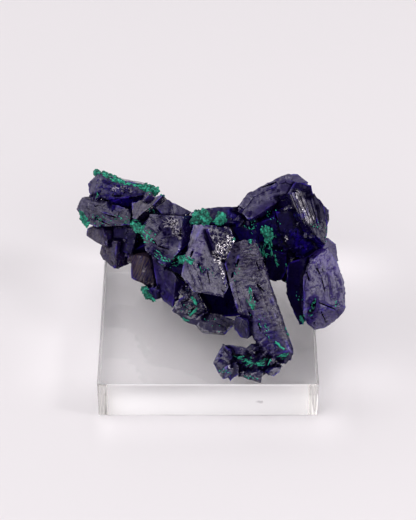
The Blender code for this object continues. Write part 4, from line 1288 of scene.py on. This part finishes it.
def add_node(tree, kind, inputs=None, **settings):
    """A new shader node, with its settings, and its inputs set to values or joined to sockets."""
    node = tree.nodes.new(kind)
    for name, value in settings.items():
        setattr(node, name, value)
    for socket, value in (inputs or {}).items():
        if isinstance(value, bpy.types.NodeSocket):
            tree.links.new(value, node.inputs[socket])
        else:
            node.inputs[socket].default_value = value
    return node


def new_material(name):
    """A material with an empty Principled shader: its tree and the shader."""
    material = bpy.data.materials.new(name)
    material.use_nodes = True
    return material, material.node_tree, material.node_tree.nodes["Principled BSDF"]


def millimetres(tree):
    """The place on the object, in millimetres."""
    place = add_node(tree, "ShaderNodeTexCoord")
    return vector_maths(tree, "MULTIPLY", place.outputs["Object"], (1.0 / MM,) * 3)


def attribute(tree, name):
    return add_node(tree, "ShaderNodeAttribute", attribute_name=name).outputs["Fac"]


def noise_texture(tree, place, scale, detail=3.0, roughness=0.55, distortion=0.0):
    inputs = {"Vector": place, "Scale": scale, "Detail": detail, "Roughness": roughness,
              "Distortion": distortion}
    return add_node(tree, "ShaderNodeTexNoise", inputs).outputs["Fac"]


def maths(tree, operation, first, second=0.5, clamp=False):
    node = add_node(tree, "ShaderNodeMath", {0: first, 1: second}, operation=operation, use_clamp=clamp)
    return node.outputs[0]


def plus(tree, first, second):
    return maths(tree, "ADD", first, second)


def minus(tree, first, second):
    return maths(tree, "SUBTRACT", first, second)


def times(tree, first, second):
    return maths(tree, "MULTIPLY", first, second)


def vector_maths(tree, operation, first, second=(0.0, 0.0, 0.0)):
    """The vector that two vectors make, or their number where they make one."""
    node = add_node(tree, "ShaderNodeVectorMath", {0: first, 1: second}, operation=operation)
    return node.outputs["Value" if operation in ("DOT_PRODUCT", "LENGTH") else "Vector"]


def between(tree, value, low, high, out_low=0.0, out_high=1.0):
    """A value's smooth way from low to high."""
    inputs = {"Value": value, "From Min": low, "From Max": high, "To Min": out_low, "To Max": out_high}
    return add_node(tree, "ShaderNodeMapRange", inputs, interpolation_type="SMOOTHSTEP").outputs["Result"]


def mixed(tree, share, first, second):
    """A colour between two."""
    return add_node(tree, "ShaderNodeMix", {0: share, 6: first, 7: second}, data_type="RGBA").outputs[2]


def colour(red, green, blue):
    return (red, green, blue, 1.0)


def tilted_scales(tree, place, scale):
    """Small angular areas: a random tone for each, and a height that slopes its own way in each."""
    areas = add_node(tree, "ShaderNodeTexVoronoi", {"Vector": place, "Scale": scale, "Randomness": 0.9},
                     distance="CHEBYCHEV")
    offset = vector_maths(tree, "SUBTRACT", place, areas.outputs["Position"])
    lean = vector_maths(tree, "SUBTRACT", areas.outputs["Color"], (0.5, 0.5, 0.5))
    tone = add_node(tree, "ShaderNodeSeparateColor", {0: areas.outputs["Color"]}).outputs[2]
    return tone, vector_maths(tree, "DOT_PRODUCT", offset, lean)


def crossing_lines(tree, place, scale):
    """How near the borders of small bent areas a place is: 1 on a border and 0 inside."""
    bend = add_node(tree, "ShaderNodeTexNoise", {"Vector": place, "Scale": 0.9, "Detail": 2.0})
    bend = vector_maths(tree, "MULTIPLY", bend.outputs["Color"], (1.6,) * 3)
    bent = vector_maths(tree, "ADD", place, bend)
    areas = add_node(tree, "ShaderNodeTexVoronoi", {"Vector": bent, "Scale": scale},
                     feature="DISTANCE_TO_EDGE")
    return between(tree, areas.outputs["Distance"], 0.26, 0.02)


# The distance from ridge to ridge where a facet is finely ridged along its grain, in millimetres
RIDGE_PERIOD = 0.75


def fine_ridges(tree, grain, place):
    """From 0 in the grooves between fine ridges to 1 on them."""
    across = add_node(tree, "ShaderNodeSeparateXYZ", {0: grain}).outputs["Y"]
    turns = times(tree, across, 2 * pi / RIDGE_PERIOD)
    wander = times(tree, noise_texture(tree, place, 0.5, 2.0), 8.0)
    wave = maths(tree, "SINE", plus(tree, turns, wander))
    return between(tree, wave, -1.0, 0.2)


def azurite_material():
    """Deep blue body under a skin whose shine changes from facet to facet and from patch to patch."""
    material, tree, shader = new_material("Azurite, deep blue and satin")
    place = millimetres(tree)
    grain = add_node(tree, "ShaderNodeAttribute", attribute_name="grain").outputs["Vector"]
    drawn_out = vector_maths(tree, "MULTIPLY", grain, (0.3, 3.0, 1.0))
    blocky = vector_maths(tree, "MULTIPLY", grain, (0.55, 1.3, 1.0))
    lines = noise_texture(tree, drawn_out, 1.0, 4.0, 0.65, 0.2)
    clouds = noise_texture(tree, place, 0.33, 3.0, 0.6, 0.4)
    mottle = noise_texture(tree, place, 1.5, 4.0, 0.7, 0.2)
    grit = noise_texture(tree, place, 2.4, 4.0, 0.65)
    scale_tone, scale_slope = tilted_scales(tree, blocky, 1.0)
    _, fine_slope = tilted_scales(tree, blocky, 2.7)
    crest = crossing_lines(tree, place, 1.15)
    ridged = attribute(tree, "lines")
    ridges = fine_ridges(tree, grain, place)

    base = mixed(tree, between(tree, clouds, 0.35, 0.65), colour(0.0025, 0.001, 0.016),
                 colour(0.004, 0.0018, 0.032))
    vivid = times(tree, attribute(tree, "blue"), between(tree, mottle, 0.35, 0.65))
    base = mixed(tree, vivid, base, colour(0.011, 0.002, 0.20))
    patchy = plus(tree, mottle, times(tree, scale_tone, 0.3))
    frost = times(tree, attribute(tree, "frost"), between(tree, patchy, 0.35, 0.85))
    base = mixed(tree, frost, base, colour(0.020, 0.011, 0.095))
    violet = times(tree, attribute(tree, "violet"), between(tree, mottle, 0.3, 0.6, 0.4, 1.0))
    base = mixed(tree, violet, base, colour(0.048, 0.024, 0.20))
    warm = times(tree, attribute(tree, "warm"), between(tree, lines, 0.35, 0.65))
    base = mixed(tree, warm, base, colour(0.075, 0.050, 0.040))
    # painted light: vivid blue along the rims, as if light showed through the thin edges
    base = mixed(tree, times(tree, attribute(tree, "rim"), 0.9), base, colour(0.026, 0.009, 0.26))
    # painted shade: near-black in the joints, creases, pits, cracks and hollows
    base = mixed(tree, attribute(tree, "shaded_joint"), base, colour(0.002, 0.001, 0.012))
    glinting = times(tree, between(tree, attribute(tree, "sparkle"), 0.3, 0.8),
                     between(tree, grit, 0.40, 0.55))
    mirror = times(tree, between(tree, crest, 0.50, 0.85), glinting)
    streaks = times(tree, attribute(tree, "streaks"), between(tree, lines, 0.50, 0.60, 0.0, 0.7))
    mirror = maths(tree, "MAXIMUM", mirror, streaks)
    base = mixed(tree, mirror, base, colour(0.80, 0.77, 0.82))
    tree.links.new(base, shader.inputs["Base Color"])
    tree.links.new(mirror, shader.inputs["Metallic"])

    # The skin: duller in patches and along fine lines
    cover = between(tree, mottle, 0.30, 0.65, 0.60, 1.00)
    cover = plus(tree, cover, between(tree, lines, 0.35, 0.65, -0.12, 0.12))
    cover = plus(tree, cover, times(tree, scale_tone, 0.3))
    cover = plus(tree, cover, between(tree, clouds, 0.35, 0.65, -0.25, 0.15))
    cover = plus(tree, cover, between(tree, grit, 0.35, 0.65, -0.25, 0.25))
    groove = times(tree, minus(tree, 1.0, ridges), times(tree, ridged, 0.4))
    cover = times(tree, attribute(tree, "shine"), minus(tree, cover, groove))
    # no coat in the painted shade of the joints, creases, pits, cracks and hollows
    open_skin = minus(tree, 1.0, attribute(tree, "shaded_joint"))
    coat = maths(tree, "MULTIPLY", cover, open_skin, clamp=True)
    tree.links.new(coat, shader.inputs["Coat Weight"])
    shader.inputs["Coat IOR"].default_value = 1.85
    shader.inputs["Coat Roughness"].default_value = 0.10

    rough = plus(tree, attribute(tree, "polish"), between(tree, grit, 0.3, 0.8, -0.05, 0.08))
    tree.links.new(rough, shader.inputs["Roughness"])
    shader.inputs["IOR"].default_value = 1.12

    striped = between(tree, ridged, 0.0, 1.0, 0.22, 1.6)
    height = plus(tree, times(tree, lines, striped), times(tree, grit, 0.35))
    height = plus(tree, height, times(tree, ridges, times(tree, ridged, 0.5)))
    height = plus(tree, height, times(tree, scale_slope, 0.9))
    height = plus(tree, height, times(tree, fine_slope, 0.35))
    crests = times(tree, crest, attribute(tree, "sparkle"))
    height = plus(tree, height, times(tree, crests, 2.5))
    bump = add_node(tree, "ShaderNodeBump", {"Height": height, "Strength": 0.8, "Distance": 0.00006})
    tree.links.new(bump.outputs["Normal"], shader.inputs["Normal"])
    tree.links.new(bump.outputs["Normal"], shader.inputs["Coat Normal"])
    return material


def malachite_material():
    """Green, with painted light on the lumps and painted shade between them, and fine fibres."""
    material, tree, shader = new_material("Malachite, velvety green")
    place = millimetres(tree)
    lumps = noise_texture(tree, place, 0.8, 3.0, 0.6, 0.3)
    fibres = noise_texture(tree, place, 5.0, 4.0, 0.7)
    raised = between(tree, attribute(tree, "relief"), -0.10, 0.07)
    base = mixed(tree, between(tree, lumps, 0.35, 0.65), colour(0.003, 0.080, 0.058),
                 colour(0.013, 0.30, 0.19))
    # painted light: bright green fibres on the raised lumps
    base = mixed(tree, times(tree, raised, between(tree, fibres, 0.35, 0.65)), base,
                 colour(0.055, 0.58, 0.38))
    # painted shade: near-black green between the lumps
    hollow = minus(tree, 1.0, raised)
    base = mixed(tree, times(tree, hollow, 0.75), base, colour(0.001, 0.020, 0.022))
    tree.links.new(base, shader.inputs["Base Color"])
    shader.inputs["Roughness"].default_value = 0.6
    shader.inputs["IOR"].default_value = 1.35
    bump = add_node(tree, "ShaderNodeBump", {"Height": fibres, "Strength": 0.8, "Distance": 0.0001})
    tree.links.new(bump.outputs["Normal"], shader.inputs["Normal"])
    return material


# The block's front and back sides: how rough they are, how rough and how wide the warm strip by each upright
# edge is, and where the small dark fleck in the front one lies and how far it reaches, in millimetres
SIDE_ROUGHNESS = 0.30
EDGE_ROUGHNESS = 0.08
WARM_STRIP = 2.6
FLECK = (11.9, -25.0, 4.4)
FLECK_REACH = 0.5


def acrylic_material():
    """Clear and polished, with a satin front and back that are slightly warm by the upright edges."""
    material, tree, shader = new_material("Clear acrylic, polished")
    place = millimetres(tree)
    smears = noise_texture(tree, place, 0.12, 3.0, 0.6, 0.5)
    normal = add_node(tree, "ShaderNodeNewGeometry").outputs["Normal"]
    facing = add_node(tree, "ShaderNodeSeparateXYZ", {0: normal})
    side = between(tree, maths(tree, "ABSOLUTE", facing.outputs["Y"]), 0.3, 0.7)
    polish = between(tree, smears, 0.4, 0.75, 0.012, 0.05)
    aside = add_node(tree, "ShaderNodeSeparateXYZ", {0: place}).outputs["X"]
    aside = maths(tree, "ABSOLUTE", aside)
    strip = between(tree, aside, BLOCK_WIDTH / 2 - WARM_STRIP, BLOCK_WIDTH / 2 - 0.6 * WARM_STRIP)
    warm = mixed(tree, times(tree, strip, side), colour(1.0, 1.0, 1.0), colour(1.0, 0.985, 0.93))
    satin = times(tree, side, between(tree, strip, 0.0, 1.0, SIDE_ROUGHNESS, EDGE_ROUGHNESS))
    tree.links.new(plus(tree, polish, satin), shader.inputs["Roughness"])
    stretched = vector_maths(tree, "MULTIPLY", vector_maths(tree, "SUBTRACT", place, FLECK), (0.5, 1.0, 1.0))
    away = vector_maths(tree, "LENGTH", stretched)
    ragged = plus(tree, away, between(tree, noise_texture(tree, place, 1.5), 0.3, 0.7, -0.2, 0.2))
    fleck = between(tree, ragged, FLECK_REACH, 0.5 * FLECK_REACH)
    base = mixed(tree, fleck, warm, colour(0.50, 0.49, 0.50))
    tree.links.new(base, shader.inputs["Base Color"])
    shader.inputs["Transmission Weight"].default_value = 1.0
    shader.inputs["IOR"].default_value = 1.49
    return material


# How light the floor is far from the block, how light the painted light makes it under the block's front
# and back edges, and how much painted light is added at its right, its left and its front, where the block
# takes light away
FLOOR_LIGHTNESS = 0.70
PAINTED_LIGHT_UNDER_FRONT, PAINTED_LIGHT_UNDER_BACK = 0.90, 0.95
RIGHT_PAINTED_LIGHT, LEFT_PAINTED_LIGHT = 0.27, 0.15
FRONT_PAINTED_LIGHT = 0.18


def floor_material():
    """Plain and pale, with painted light under the block and beside it."""
    material, tree, shader = new_material("Pale floor")
    place = add_node(tree, "ShaderNodeSeparateXYZ", {0: millimetres(tree)}).outputs
    half = BLOCK_WIDTH / 2
    aside, away = maths(tree, "ABSOLUTE", place["X"]), maths(tree, "ABSOLUTE", place["Y"])
    covered = maths(tree, "LESS_THAN", maths(tree, "MAXIMUM", aside, away), half)
    # painted light beside the block, more at its right than at its left
    beside = between(tree, place["X"], -half, half, LEFT_PAINTED_LIGHT, RIGHT_PAINTED_LIGHT)
    from_middle = maths(tree, "ABSOLUTE", minus(tree, place["Y"], 7.0))
    for distance, low, high in ((aside, half + 28, half), (aside, 0.8 * half, half),
                                (from_middle, half + 7, half - 8)):
        beside = times(tree, beside, between(tree, distance, low, high))
    # painted light in front of the block
    in_front = maths(tree, "POWER", between(tree, place["Y"], -half - 15, -half), 2.0)
    in_front = times(tree, in_front, FRONT_PAINTED_LIGHT)
    for distance, low, high in ((place["X"], -half - 2, -half + 3), (place["X"], half + 10, half),
                                (place["Y"], 0.0, -20.0)):
        in_front = times(tree, in_front, between(tree, distance, low, high))
    open_floor = plus(tree, plus(tree, beside, in_front), FLOOR_LIGHTNESS)
    # painted light under the block
    under = between(tree, place["Y"], -half, -half / 4, PAINTED_LIGHT_UNDER_FRONT, PAINTED_LIGHT_UNDER_BACK)
    change = times(tree, minus(tree, under, open_floor), covered)
    lightness = plus(tree, open_floor, change)
    base = mixed(tree, lightness, colour(0.0, 0.0, 0.0), colour(1.0, 0.99, 1.0))
    tree.links.new(base, shader.inputs["Base Color"])
    shader.inputs["Roughness"].default_value = 0.9
    shader.inputs["Specular IOR Level"].default_value = 0.2
    return material


def scattered(random, count):
    """Directions spread over a sphere."""
    steps = random.normal(0.0, 1.0, (count, 3))
    return steps / np.linalg.norm(steps, axis=1)[:, None]


def mossy_balls(balls, random):
    """Each ball of a growth as a core with many small lumps on it, and lumps that bridge to the next one."""
    lumps = []
    for middle, radius in balls:
        lumps.append((Vector(middle), radius * 0.78))
        for direction in scattered(random, int(20 * radius ** 1.3) + 9):
            size = random.uniform(0.16, 0.34) * (0.6 + 0.5 * radius)
            lumps.append((Vector(middle) + Vector(direction) * (radius * random.uniform(0.62, 0.98)), size))
    for (start, first), (end, second) in zip(balls[:-1], balls[1:]):
        start, end = Vector(start), Vector(end)
        if (end - start).length < 2.6 * (first + second):
            for _ in range(7):
                spot = start.lerp(end, random.uniform(0.2, 0.8))
                spot += Vector(random.normal(0.0, 0.22, 3)) * first
                lumps.append((spot, random.uniform(0.3, 0.6) * min(first, second)))
    return lumps


def remeshed(name, data, voxel):
    """One closed skin round everything in a bmesh, in millimetres."""
    helper = bmesh_object(name, data)
    remesh = helper.modifiers.new("One skin", "REMESH")
    remesh.mode = "VOXEL"
    remesh.voxel_size = voxel
    graph = bpy.context.evaluated_depsgraph_get()
    graph.update()
    skin = bpy.data.meshes.new_from_object(helper.evaluated_get(graph))
    bpy.data.objects.remove(helper)
    return skin


def arrays_of(mesh):
    """A mesh's points and the directions that they face."""
    found = []
    for key in ("co", "normal"):
        numbers = np.zeros(len(mesh.vertices) * 3, np.float32)
        mesh.vertices.foreach_get(key, numbers)
        found.append(numbers.reshape(-1, 3).astype(float))
    return found


def finished(name, skin, moved):
    """The piece made of a mesh whose points, in millimetres, have moved."""
    skin.vertices.foreach_set("co", (moved * MM).ravel())
    skin.update()
    skin.shade_smooth()
    skin.name = name
    return placed(name, skin)


# How finely the green growths are meshed
MOSS_VOXEL = 0.115


def malachite_piece(name, balls, seed):
    """One green growth: mossy lumps run together, with a velvety skin."""
    random = np.random.default_rng(seed)
    data = bmesh.new()
    for middle, radius in mossy_balls(balls, random):
        made = bmesh.ops.create_icosphere(data, subdivisions=2, radius=radius)
        bmesh.ops.translate(data, vec=middle, verts=made["verts"])
    skin = remeshed(name, data, MOSS_VOXEL)
    points, normals = arrays_of(skin)
    near, _, number, _ = cells(points, 0.42, 90)
    height = 0.13 * smooth_step(0.34, 0.0, near) * (0.3 + 0.7 * number) - 0.06
    height += 0.08 * noise(points, 0.7, 91)
    height += 0.05 * noise(points, 0.28, 92)
    set_attribute(skin, "relief", height)
    return finished(name, skin, points + normals * height[:, None])


# Streaks and specks of malachite: the photograph's pixels that each runs through, how far its needles stray
# in pixels, how many they are, and their length and width in millimetres

NEEDLES = {
    "leg_streak": ([(249, 288), (250, 296), (252, 304)], 1.0, 16, 1.1, 0.20),
    "leg_streak_bright": ([(250, 300), (253, 308)], 1.3, 18, 0.9, 0.26),
    "leg_tail": ([(256, 312), (263, 324), (270, 338)], 2.6, 20, 0.5, 0.16),
    "leg_end": ([(277, 343), (282, 348)], 0.8, 12, 0.9, 0.26),
    "leg_end_low": ([(280, 357), (288, 354)], 1.2, 14, 0.8, 0.24),
    "leg_right_edge": ([(286, 328), (289, 337)], 0.8, 8, 0.5, 0.22),
    "leg_left_flecks": ([(238, 262), (235, 280)], 1.5, 6, 0.4, 0.22),
    "spray_left": ([(264, 243), (264, 256)], 0.8, 12, 1.5, 0.20),
    "spray_right": ([(270, 241), (272, 255)], 0.8, 12, 1.4, 0.20),
    "spray_low": ([(275, 256), (278, 266)], 0.8, 12, 1.0, 0.26),
    "spray_far": ([(286, 262), (287, 267)], 0.6, 5, 0.6, 0.26),
    "spray_top": ([(266, 228), (270, 236)], 2.8, 26, 0.8, 0.30),
    "spray_speckled": ([(250, 224), (256, 232)], 3.0, 16, 0.4, 0.20),
    "spray_above": ([(268, 212), (280, 223)], 2.2, 12, 0.4, 0.24),
    "spray_core": ([(258, 246), (282, 258)], 4.5, 16, 0.5, 0.18),
    "seam": ([(156, 255), (168, 262), (180, 262)], 2.8, 34, 0.6, 0.22),
    "seam_tuft": ([(181, 258), (191, 262)], 1.6, 22, 1.0, 0.28),
    "prism_fleck": ([(199, 265), (202, 273)], 0.5, 8, 0.6, 0.20),
    "prism_specks": ([(206, 262), (212, 276)], 2.5, 8, 0.25, 0.16),
    "chunk_upper": ([(192, 298), (196, 303)], 0.6, 10, 1.1, 0.28),
    "chunk_middle": ([(191, 315), (197, 309)], 0.6, 12, 1.3, 0.26),
    "chunk_low": ([(182, 319), (189, 321)], 0.8, 8, 0.9, 0.24),
    "chunk_specks": ([(178, 308), (192, 312)], 3.5, 10, 0.3, 0.2),
    "ledge_specks": ([(205, 322), (220, 326)], 3.0, 8, 0.3, 0.2),
    "foot_upper": ([(238, 357), (252, 362)], 1.6, 26, 1.0, 0.26),
    "foot_right": ([(254, 364), (270, 360)], 1.6, 24, 0.9, 0.26),
    "foot_low": ([(216, 369), (230, 373)], 1.0, 10, 0.6, 0.24),
    "foot_end": ([(244, 376), (258, 379)], 1.0, 8, 0.5, 0.24),
    "lower_block_specks": ([(94, 219), (110, 223)], 3.5, 34, 0.3, 0.22),
    "lower_block_right": ([(116, 216), (130, 222)], 2.5, 16, 0.5, 0.22),
    "lower_block_edge": ([(79, 210), (82, 219), (88, 226)], 1.2, 22, 0.8, 0.30),
    "tuft": ([(133, 224), (142, 230), (151, 236)], 2.2, 44, 0.9, 0.28),
    "tuft_low": ([(143, 238), (153, 243)], 2.0, 12, 0.6, 0.22),
    "tuft_teal": ([(126, 222), (138, 222)], 2.5, 12, 0.5, 0.2),
    "upper_crust": ([(97, 170), (112, 178), (128, 184)], 1.4, 60, 0.7, 0.34),
    "upper_crust_link": ([(126, 183), (134, 185), (145, 187)], 0.8, 30, 0.7, 0.30),
    "upper_block_spot": ([(97, 193), (97, 198)], 0.8, 6, 0.5, 0.26),
    "second_crust": ([(143, 186), (152, 190), (163, 196)], 1.4, 40, 0.7, 0.34),
    "roof_specks": ([(150, 209), (156, 212)], 1.2, 8, 0.5, 0.26),
    "glossy_specks": ([(312, 226), (322, 228)], 2.5, 7, 0.3, 0.24),
    "glossy_rim": ([(326, 226), (327, 246)], 1.0, 6, 0.3, 0.2),
    "pendant_notch": ([(314, 299), (310, 316)], 1.2, 14, 0.8, 0.22),
    "pendant_specks": ([(332, 309), (340, 298)], 1.5, 8, 0.3, 0.24),
    "blade_tip": ([(301, 316), (304, 325)], 1.0, 16, 0.9, 0.28),
    "blade_specks": ([(290, 275), (298, 300)], 3.0, 5, 0.3, 0.2),
    "underside": ([(143, 288), (152, 299)], 1.5, 24, 0.8, 0.32),
    "between_balls": ([(207, 222), (216, 223)], 1.2, 14, 0.5, 0.28),
}

# Small patches of malachite needles on the sides that the photographer can't see
HIDDEN_TUFTS = 26
NEEDLE_SIDES = 5


def spindles(places, axes, normals, lengths, widths, random):
    """Slender bodies with pointed ends, as one mesh's points and triangles."""
    angles = np.arange(NEEDLE_SIDES) * 2.0 * pi / NEEDLE_SIDES
    rings = ((-0.30, 0.8), (0.05, 1.0), (0.34, 0.7))
    points, triangles = [], []
    per_needle = 2 + len(rings) * NEEDLE_SIDES
    for number, (place, axis, normal) in enumerate(zip(places, axes, normals)):
        side = np.cross(axis, normal)
        made = [place - axis * lengths[number] * 0.5]
        for share, wide in rings:
            reach = widths[number] * 0.5 * wide * random.uniform(0.75, 1.2, (NEEDLE_SIDES, 1))
            round_it = np.cos(angles)[:, None] * side + np.sin(angles)[:, None] * normal
            made.extend(place + axis * lengths[number] * share + round_it * reach)
        made.append(place + axis * lengths[number] * 0.5)
        points.extend(made)
        first = number * per_needle
        for step in range(NEEDLE_SIDES):
            after = (step + 1) % NEEDLE_SIDES
            triangles.append((first, first + 1 + after, first + 1 + step))
            for ring in range(len(rings) - 1):
                low, high = first + 1 + ring * NEEDLE_SIDES, first + 1 + (ring + 1) * NEEDLE_SIDES
                triangles.append((low + step, low + after, high + after))
                triangles.append((low + step, high + after, high + step))
            top = first + 1 + (len(rings) - 1) * NEEDLE_SIDES
            triangles.append((top + step, top + after, first + per_needle - 1))
    return np.array(points), np.array(triangles)


def needle_spots(surface, random):
    """Where the needles lie, which way each runs, and the direction that the surface faces there."""
    spots = []
    for pixels, stray, count, length, width in NEEDLES.values():
        pixels = np.array(pixels, float)
        for _ in range(count):
            leg = random.integers(0, len(pixels) - 1)
            middle = pixels[leg] + (pixels[leg + 1] - pixels[leg]) * random.random()
            middle = middle + random.normal(0.0, stray, 2)
            step = (pixels[leg + 1] - pixels[leg]) / np.linalg.norm(pixels[leg + 1] - pixels[leg])
            try:
                place, normal = surface.under(middle)
                ahead = surface.under(middle + step)[0]
            except ValueError:
                continue
            run = nudged((ahead - place).normalized(), 0.25, random)
            long = length * random.lognormal(-0.1, 0.35)
            wide = width * random.lognormal(0.0, 0.3)
            spots.append((place, run, normal, long, wide))
    return spots


def hidden_spots(surface, data, random):
    """Tufts of needles on the facets that face away from the photographer."""
    data.faces.ensure_lookup_table()
    away = [face for face in data.faces if not in_view(face) and face.calc_area() > 4.0
            and face.calc_center_median().z > 13.0 and face.normal.z > -0.5]
    areas = np.array([face.calc_area() for face in away])
    spots = []
    for _ in range(HIDDEN_TUFTS):
        face = away[random.choice(len(away), p=areas / areas.sum())]
        middle = Outline(face).spots(face.calc_area(), random) or [face.calc_center_median()]
        grain = nudged(face.normal.orthogonal(), 0.6, random)
        for _ in range(random.integers(5, 22)):
            spot = middle[0] + grain * random.normal(0.0, 0.9)
            spot += nudged(face.normal.orthogonal(), 0.8, random) * 0.4
            place, normal = surface.tree.find_nearest(spot)[:2]
            run = nudged(grain, 0.3, random)
            spots.append((place, run, normal, random.uniform(0.5, 1.1), random.uniform(0.2, 0.32)))
    return spots


def malachite_needles(name, spots, random):
    """The needles of some spots, half sunk in the surface, as one piece."""
    places, axes, normals, lengths, widths = [], [], [], [], []
    for place, run, normal, length, width in spots:
        axis = (run - run.project(normal) * 0.8).normalized()
        places.append(tuple(place + normal * width * 0.25))
        axes.append(tuple(axis))
        normals.append(tuple((normal - normal.project(axis)).normalized()))
        lengths.append(length)
        widths.append(width)
    points, triangles = spindles(*map(np.array, (places, axes, normals, lengths, widths)), random)
    mesh = bpy.data.meshes.new(name)
    mesh.from_pydata((points * MM).tolist(), [], triangles.tolist())
    tone = np.repeat(random.uniform(-0.06, 0.12, len(spots)), 2 + 3 * NEEDLE_SIDES)
    set_attribute(mesh, "relief", tone)
    mesh.shade_smooth()
    return placed(name, mesh)


def make_camera():
    """The camera of the photograph."""
    data = bpy.data.cameras.new("camera")
    data.sensor_width = SENSOR_MM
    data.lens = FOCAL_PIXELS / PHOTO_HEIGHT * SENSOR_MM
    data.clip_start = 0.01
    data.clip_end = 20.0
    camera = placed("camera", data)
    camera.location = Vector(CAMERA_PLACE) * MM
    camera.rotation_euler = (radians(90.0 - CAMERA_PITCH), 0.0, 0.0)
    bpy.context.scene.camera = camera


# The floor reaches this far to each side, in metres, and lies this far under the block, in millimetres
FLOOR_REACH = 0.95
FLOOR_GAP = 0.05


def make_floor():
    """The pale floor that the block rests on."""
    data = bmesh.new()
    data.faces.new([data.verts.new((x * FLOOR_REACH, y * FLOOR_REACH, -FLOOR_GAP * MM))
                    for x, y in ((-1, -1), (1, -1), (1, 1), (-1, 1))])
    floor = bmesh_object("floor", data)
    floor.data.materials.append(floor_material())


# The colour of every light, the backdrop's colour where the camera sees it, and where the lights point to
LIGHT_COLOUR = (1.0, 0.955, 0.98)
BACKDROP_COLOUR = (0.863, 0.814, 0.847)
SPECIMEN_MIDDLE = (0.0, 0.0, 20.0)


def pointing(bearing, tilt):
    """The direction from the specimen: bearing 0 is the photographer's, and 90 is to the right."""
    level = cos(radians(tilt))
    return Vector((sin(radians(bearing)) * level, -cos(radians(bearing)) * level, sin(radians(tilt))))


def soft_light(name, bearing, tilt, distance, size, radiance):
    """A rectangular soft light that faces the specimen, from that bearing and height above it."""
    data = bpy.data.lights.new(name, "AREA")
    data.shape = "RECTANGLE"
    data.size, data.size_y = size
    data.energy = radiance * pi * size[0] * size[1]
    data.color = LIGHT_COLOUR
    light = placed(name, data)
    outward = pointing(bearing, tilt)
    light.location = outward * distance + Vector(SPECIMEN_MIDDLE) * MM
    light.rotation_euler = outward.to_track_quat("Z", "Y").to_euler()


def make_surround():
    """A dim room with a white sweep behind, which the camera sees as the same white as the floor."""
    world = bpy.data.worlds.new("room")
    world.use_nodes = True
    tree = world.node_tree
    direction = add_node(tree, "ShaderNodeTexCoord").outputs["Generated"]
    strength = ROOM_LIGHT
    for bearing, tilt, inner, outer, radiance in SWEEP_GLOWS:
        middle = pointing(bearing, tilt)
        towards = vector_maths(tree, "DOT_PRODUCT", direction, middle)
        glow = between(tree, towards, cos(radians(outer)), cos(radians(inner)), 0.0, radiance)
        strength = plus(tree, strength, glow)
    lighting = tree.nodes["Background"]
    lighting.inputs["Color"].default_value = colour(*LIGHT_COLOUR)
    tree.links.new(strength, lighting.inputs["Strength"])
    seen = add_node(tree, "ShaderNodeBackground", {"Color": colour(*BACKDROP_COLOUR), "Strength": 1.0})
    ray = add_node(tree, "ShaderNodeLightPath").outputs["Is Camera Ray"]
    choice = add_node(tree, "ShaderNodeMixShader", {0: ray, 1: lighting.outputs[0], 2: seen.outputs[0]})
    tree.links.new(choice.outputs[0], tree.nodes["World Output"].inputs["Surface"])
    bpy.context.scene.world = world


# The room's own light, and the glows of the white sweep and the large light above it: bearing, height
# above the floor, where the glow starts to fade and where it ends, all in degrees, and its radiance
ROOM_LIGHT = 0.27
SWEEP_GLOWS = [(180, 5, 25, 70, 0.42), (235, 62, 14, 43, 1.5)]

make_camera()
make_floor()
make_surround()
soft_light("softbox above the camera", 4, 40, 1.5, (2.0, 0.50), 1.9)
soft_light("left window", 292, 42, 1.5, (1.42, 1.42), 1.5)
soft_light("left back panel", 250, 10, 0.8, (0.3, 0.3), 2.0)
soft_light("right panel", 60, 17, 1.5, (1.83, 0.46), 1.7)
soft_light("right glint light", 76, 44, 0.7, (0.16, 0.16), 12.0)
bpy.context.scene.view_settings.view_transform = "Standard"

names = list(all_crystals())
solids = [crystal_data(**sizes) for sizes in all_crystals().values()]
bare = boolean_result(solids[0].copy(), [solid.copy() for solid in solids[1:]], "UNION")
surface = Surface(bare)
owners = facet_owners(bare, solids)
plates, hollows = small_growth(bare, owners, names, 11)
body = boolean_result(solids[0], solids[1:] + plates + ledges(surface) + clusters(surface, 12), "UNION")
body = one_body(boolean_result(body, hollows + cracks(surface), "DIFFERENCE"))
skin = Surface(body)
azurite = azurite_piece(surface, body, owners, names)
azurite.data.materials.append(azurite_material())
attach(azurite, "root")
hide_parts("azurite_cluster")

green = malachite_material()
for seed, (node_name, balls) in enumerate(MALACHITE_GROWTHS.items()):
    growth = malachite_piece(node_name + "_skin", balls, 500 + seed)
    growth.data.materials.append(green)
    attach(growth, "root")
    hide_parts(node_name)

random = np.random.default_rng(900)
for name, spots in (("malachite_needles", needle_spots(skin, random)),
                    ("malachite_needles_behind", hidden_spots(skin, bare, random))):
    needles = malachite_needles(name, spots, random)
    needles.data.materials.append(green)
    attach(needles, "root")

clear = acrylic_material()
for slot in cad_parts["acrylic_base"].material_slots:
    slot.material = clear
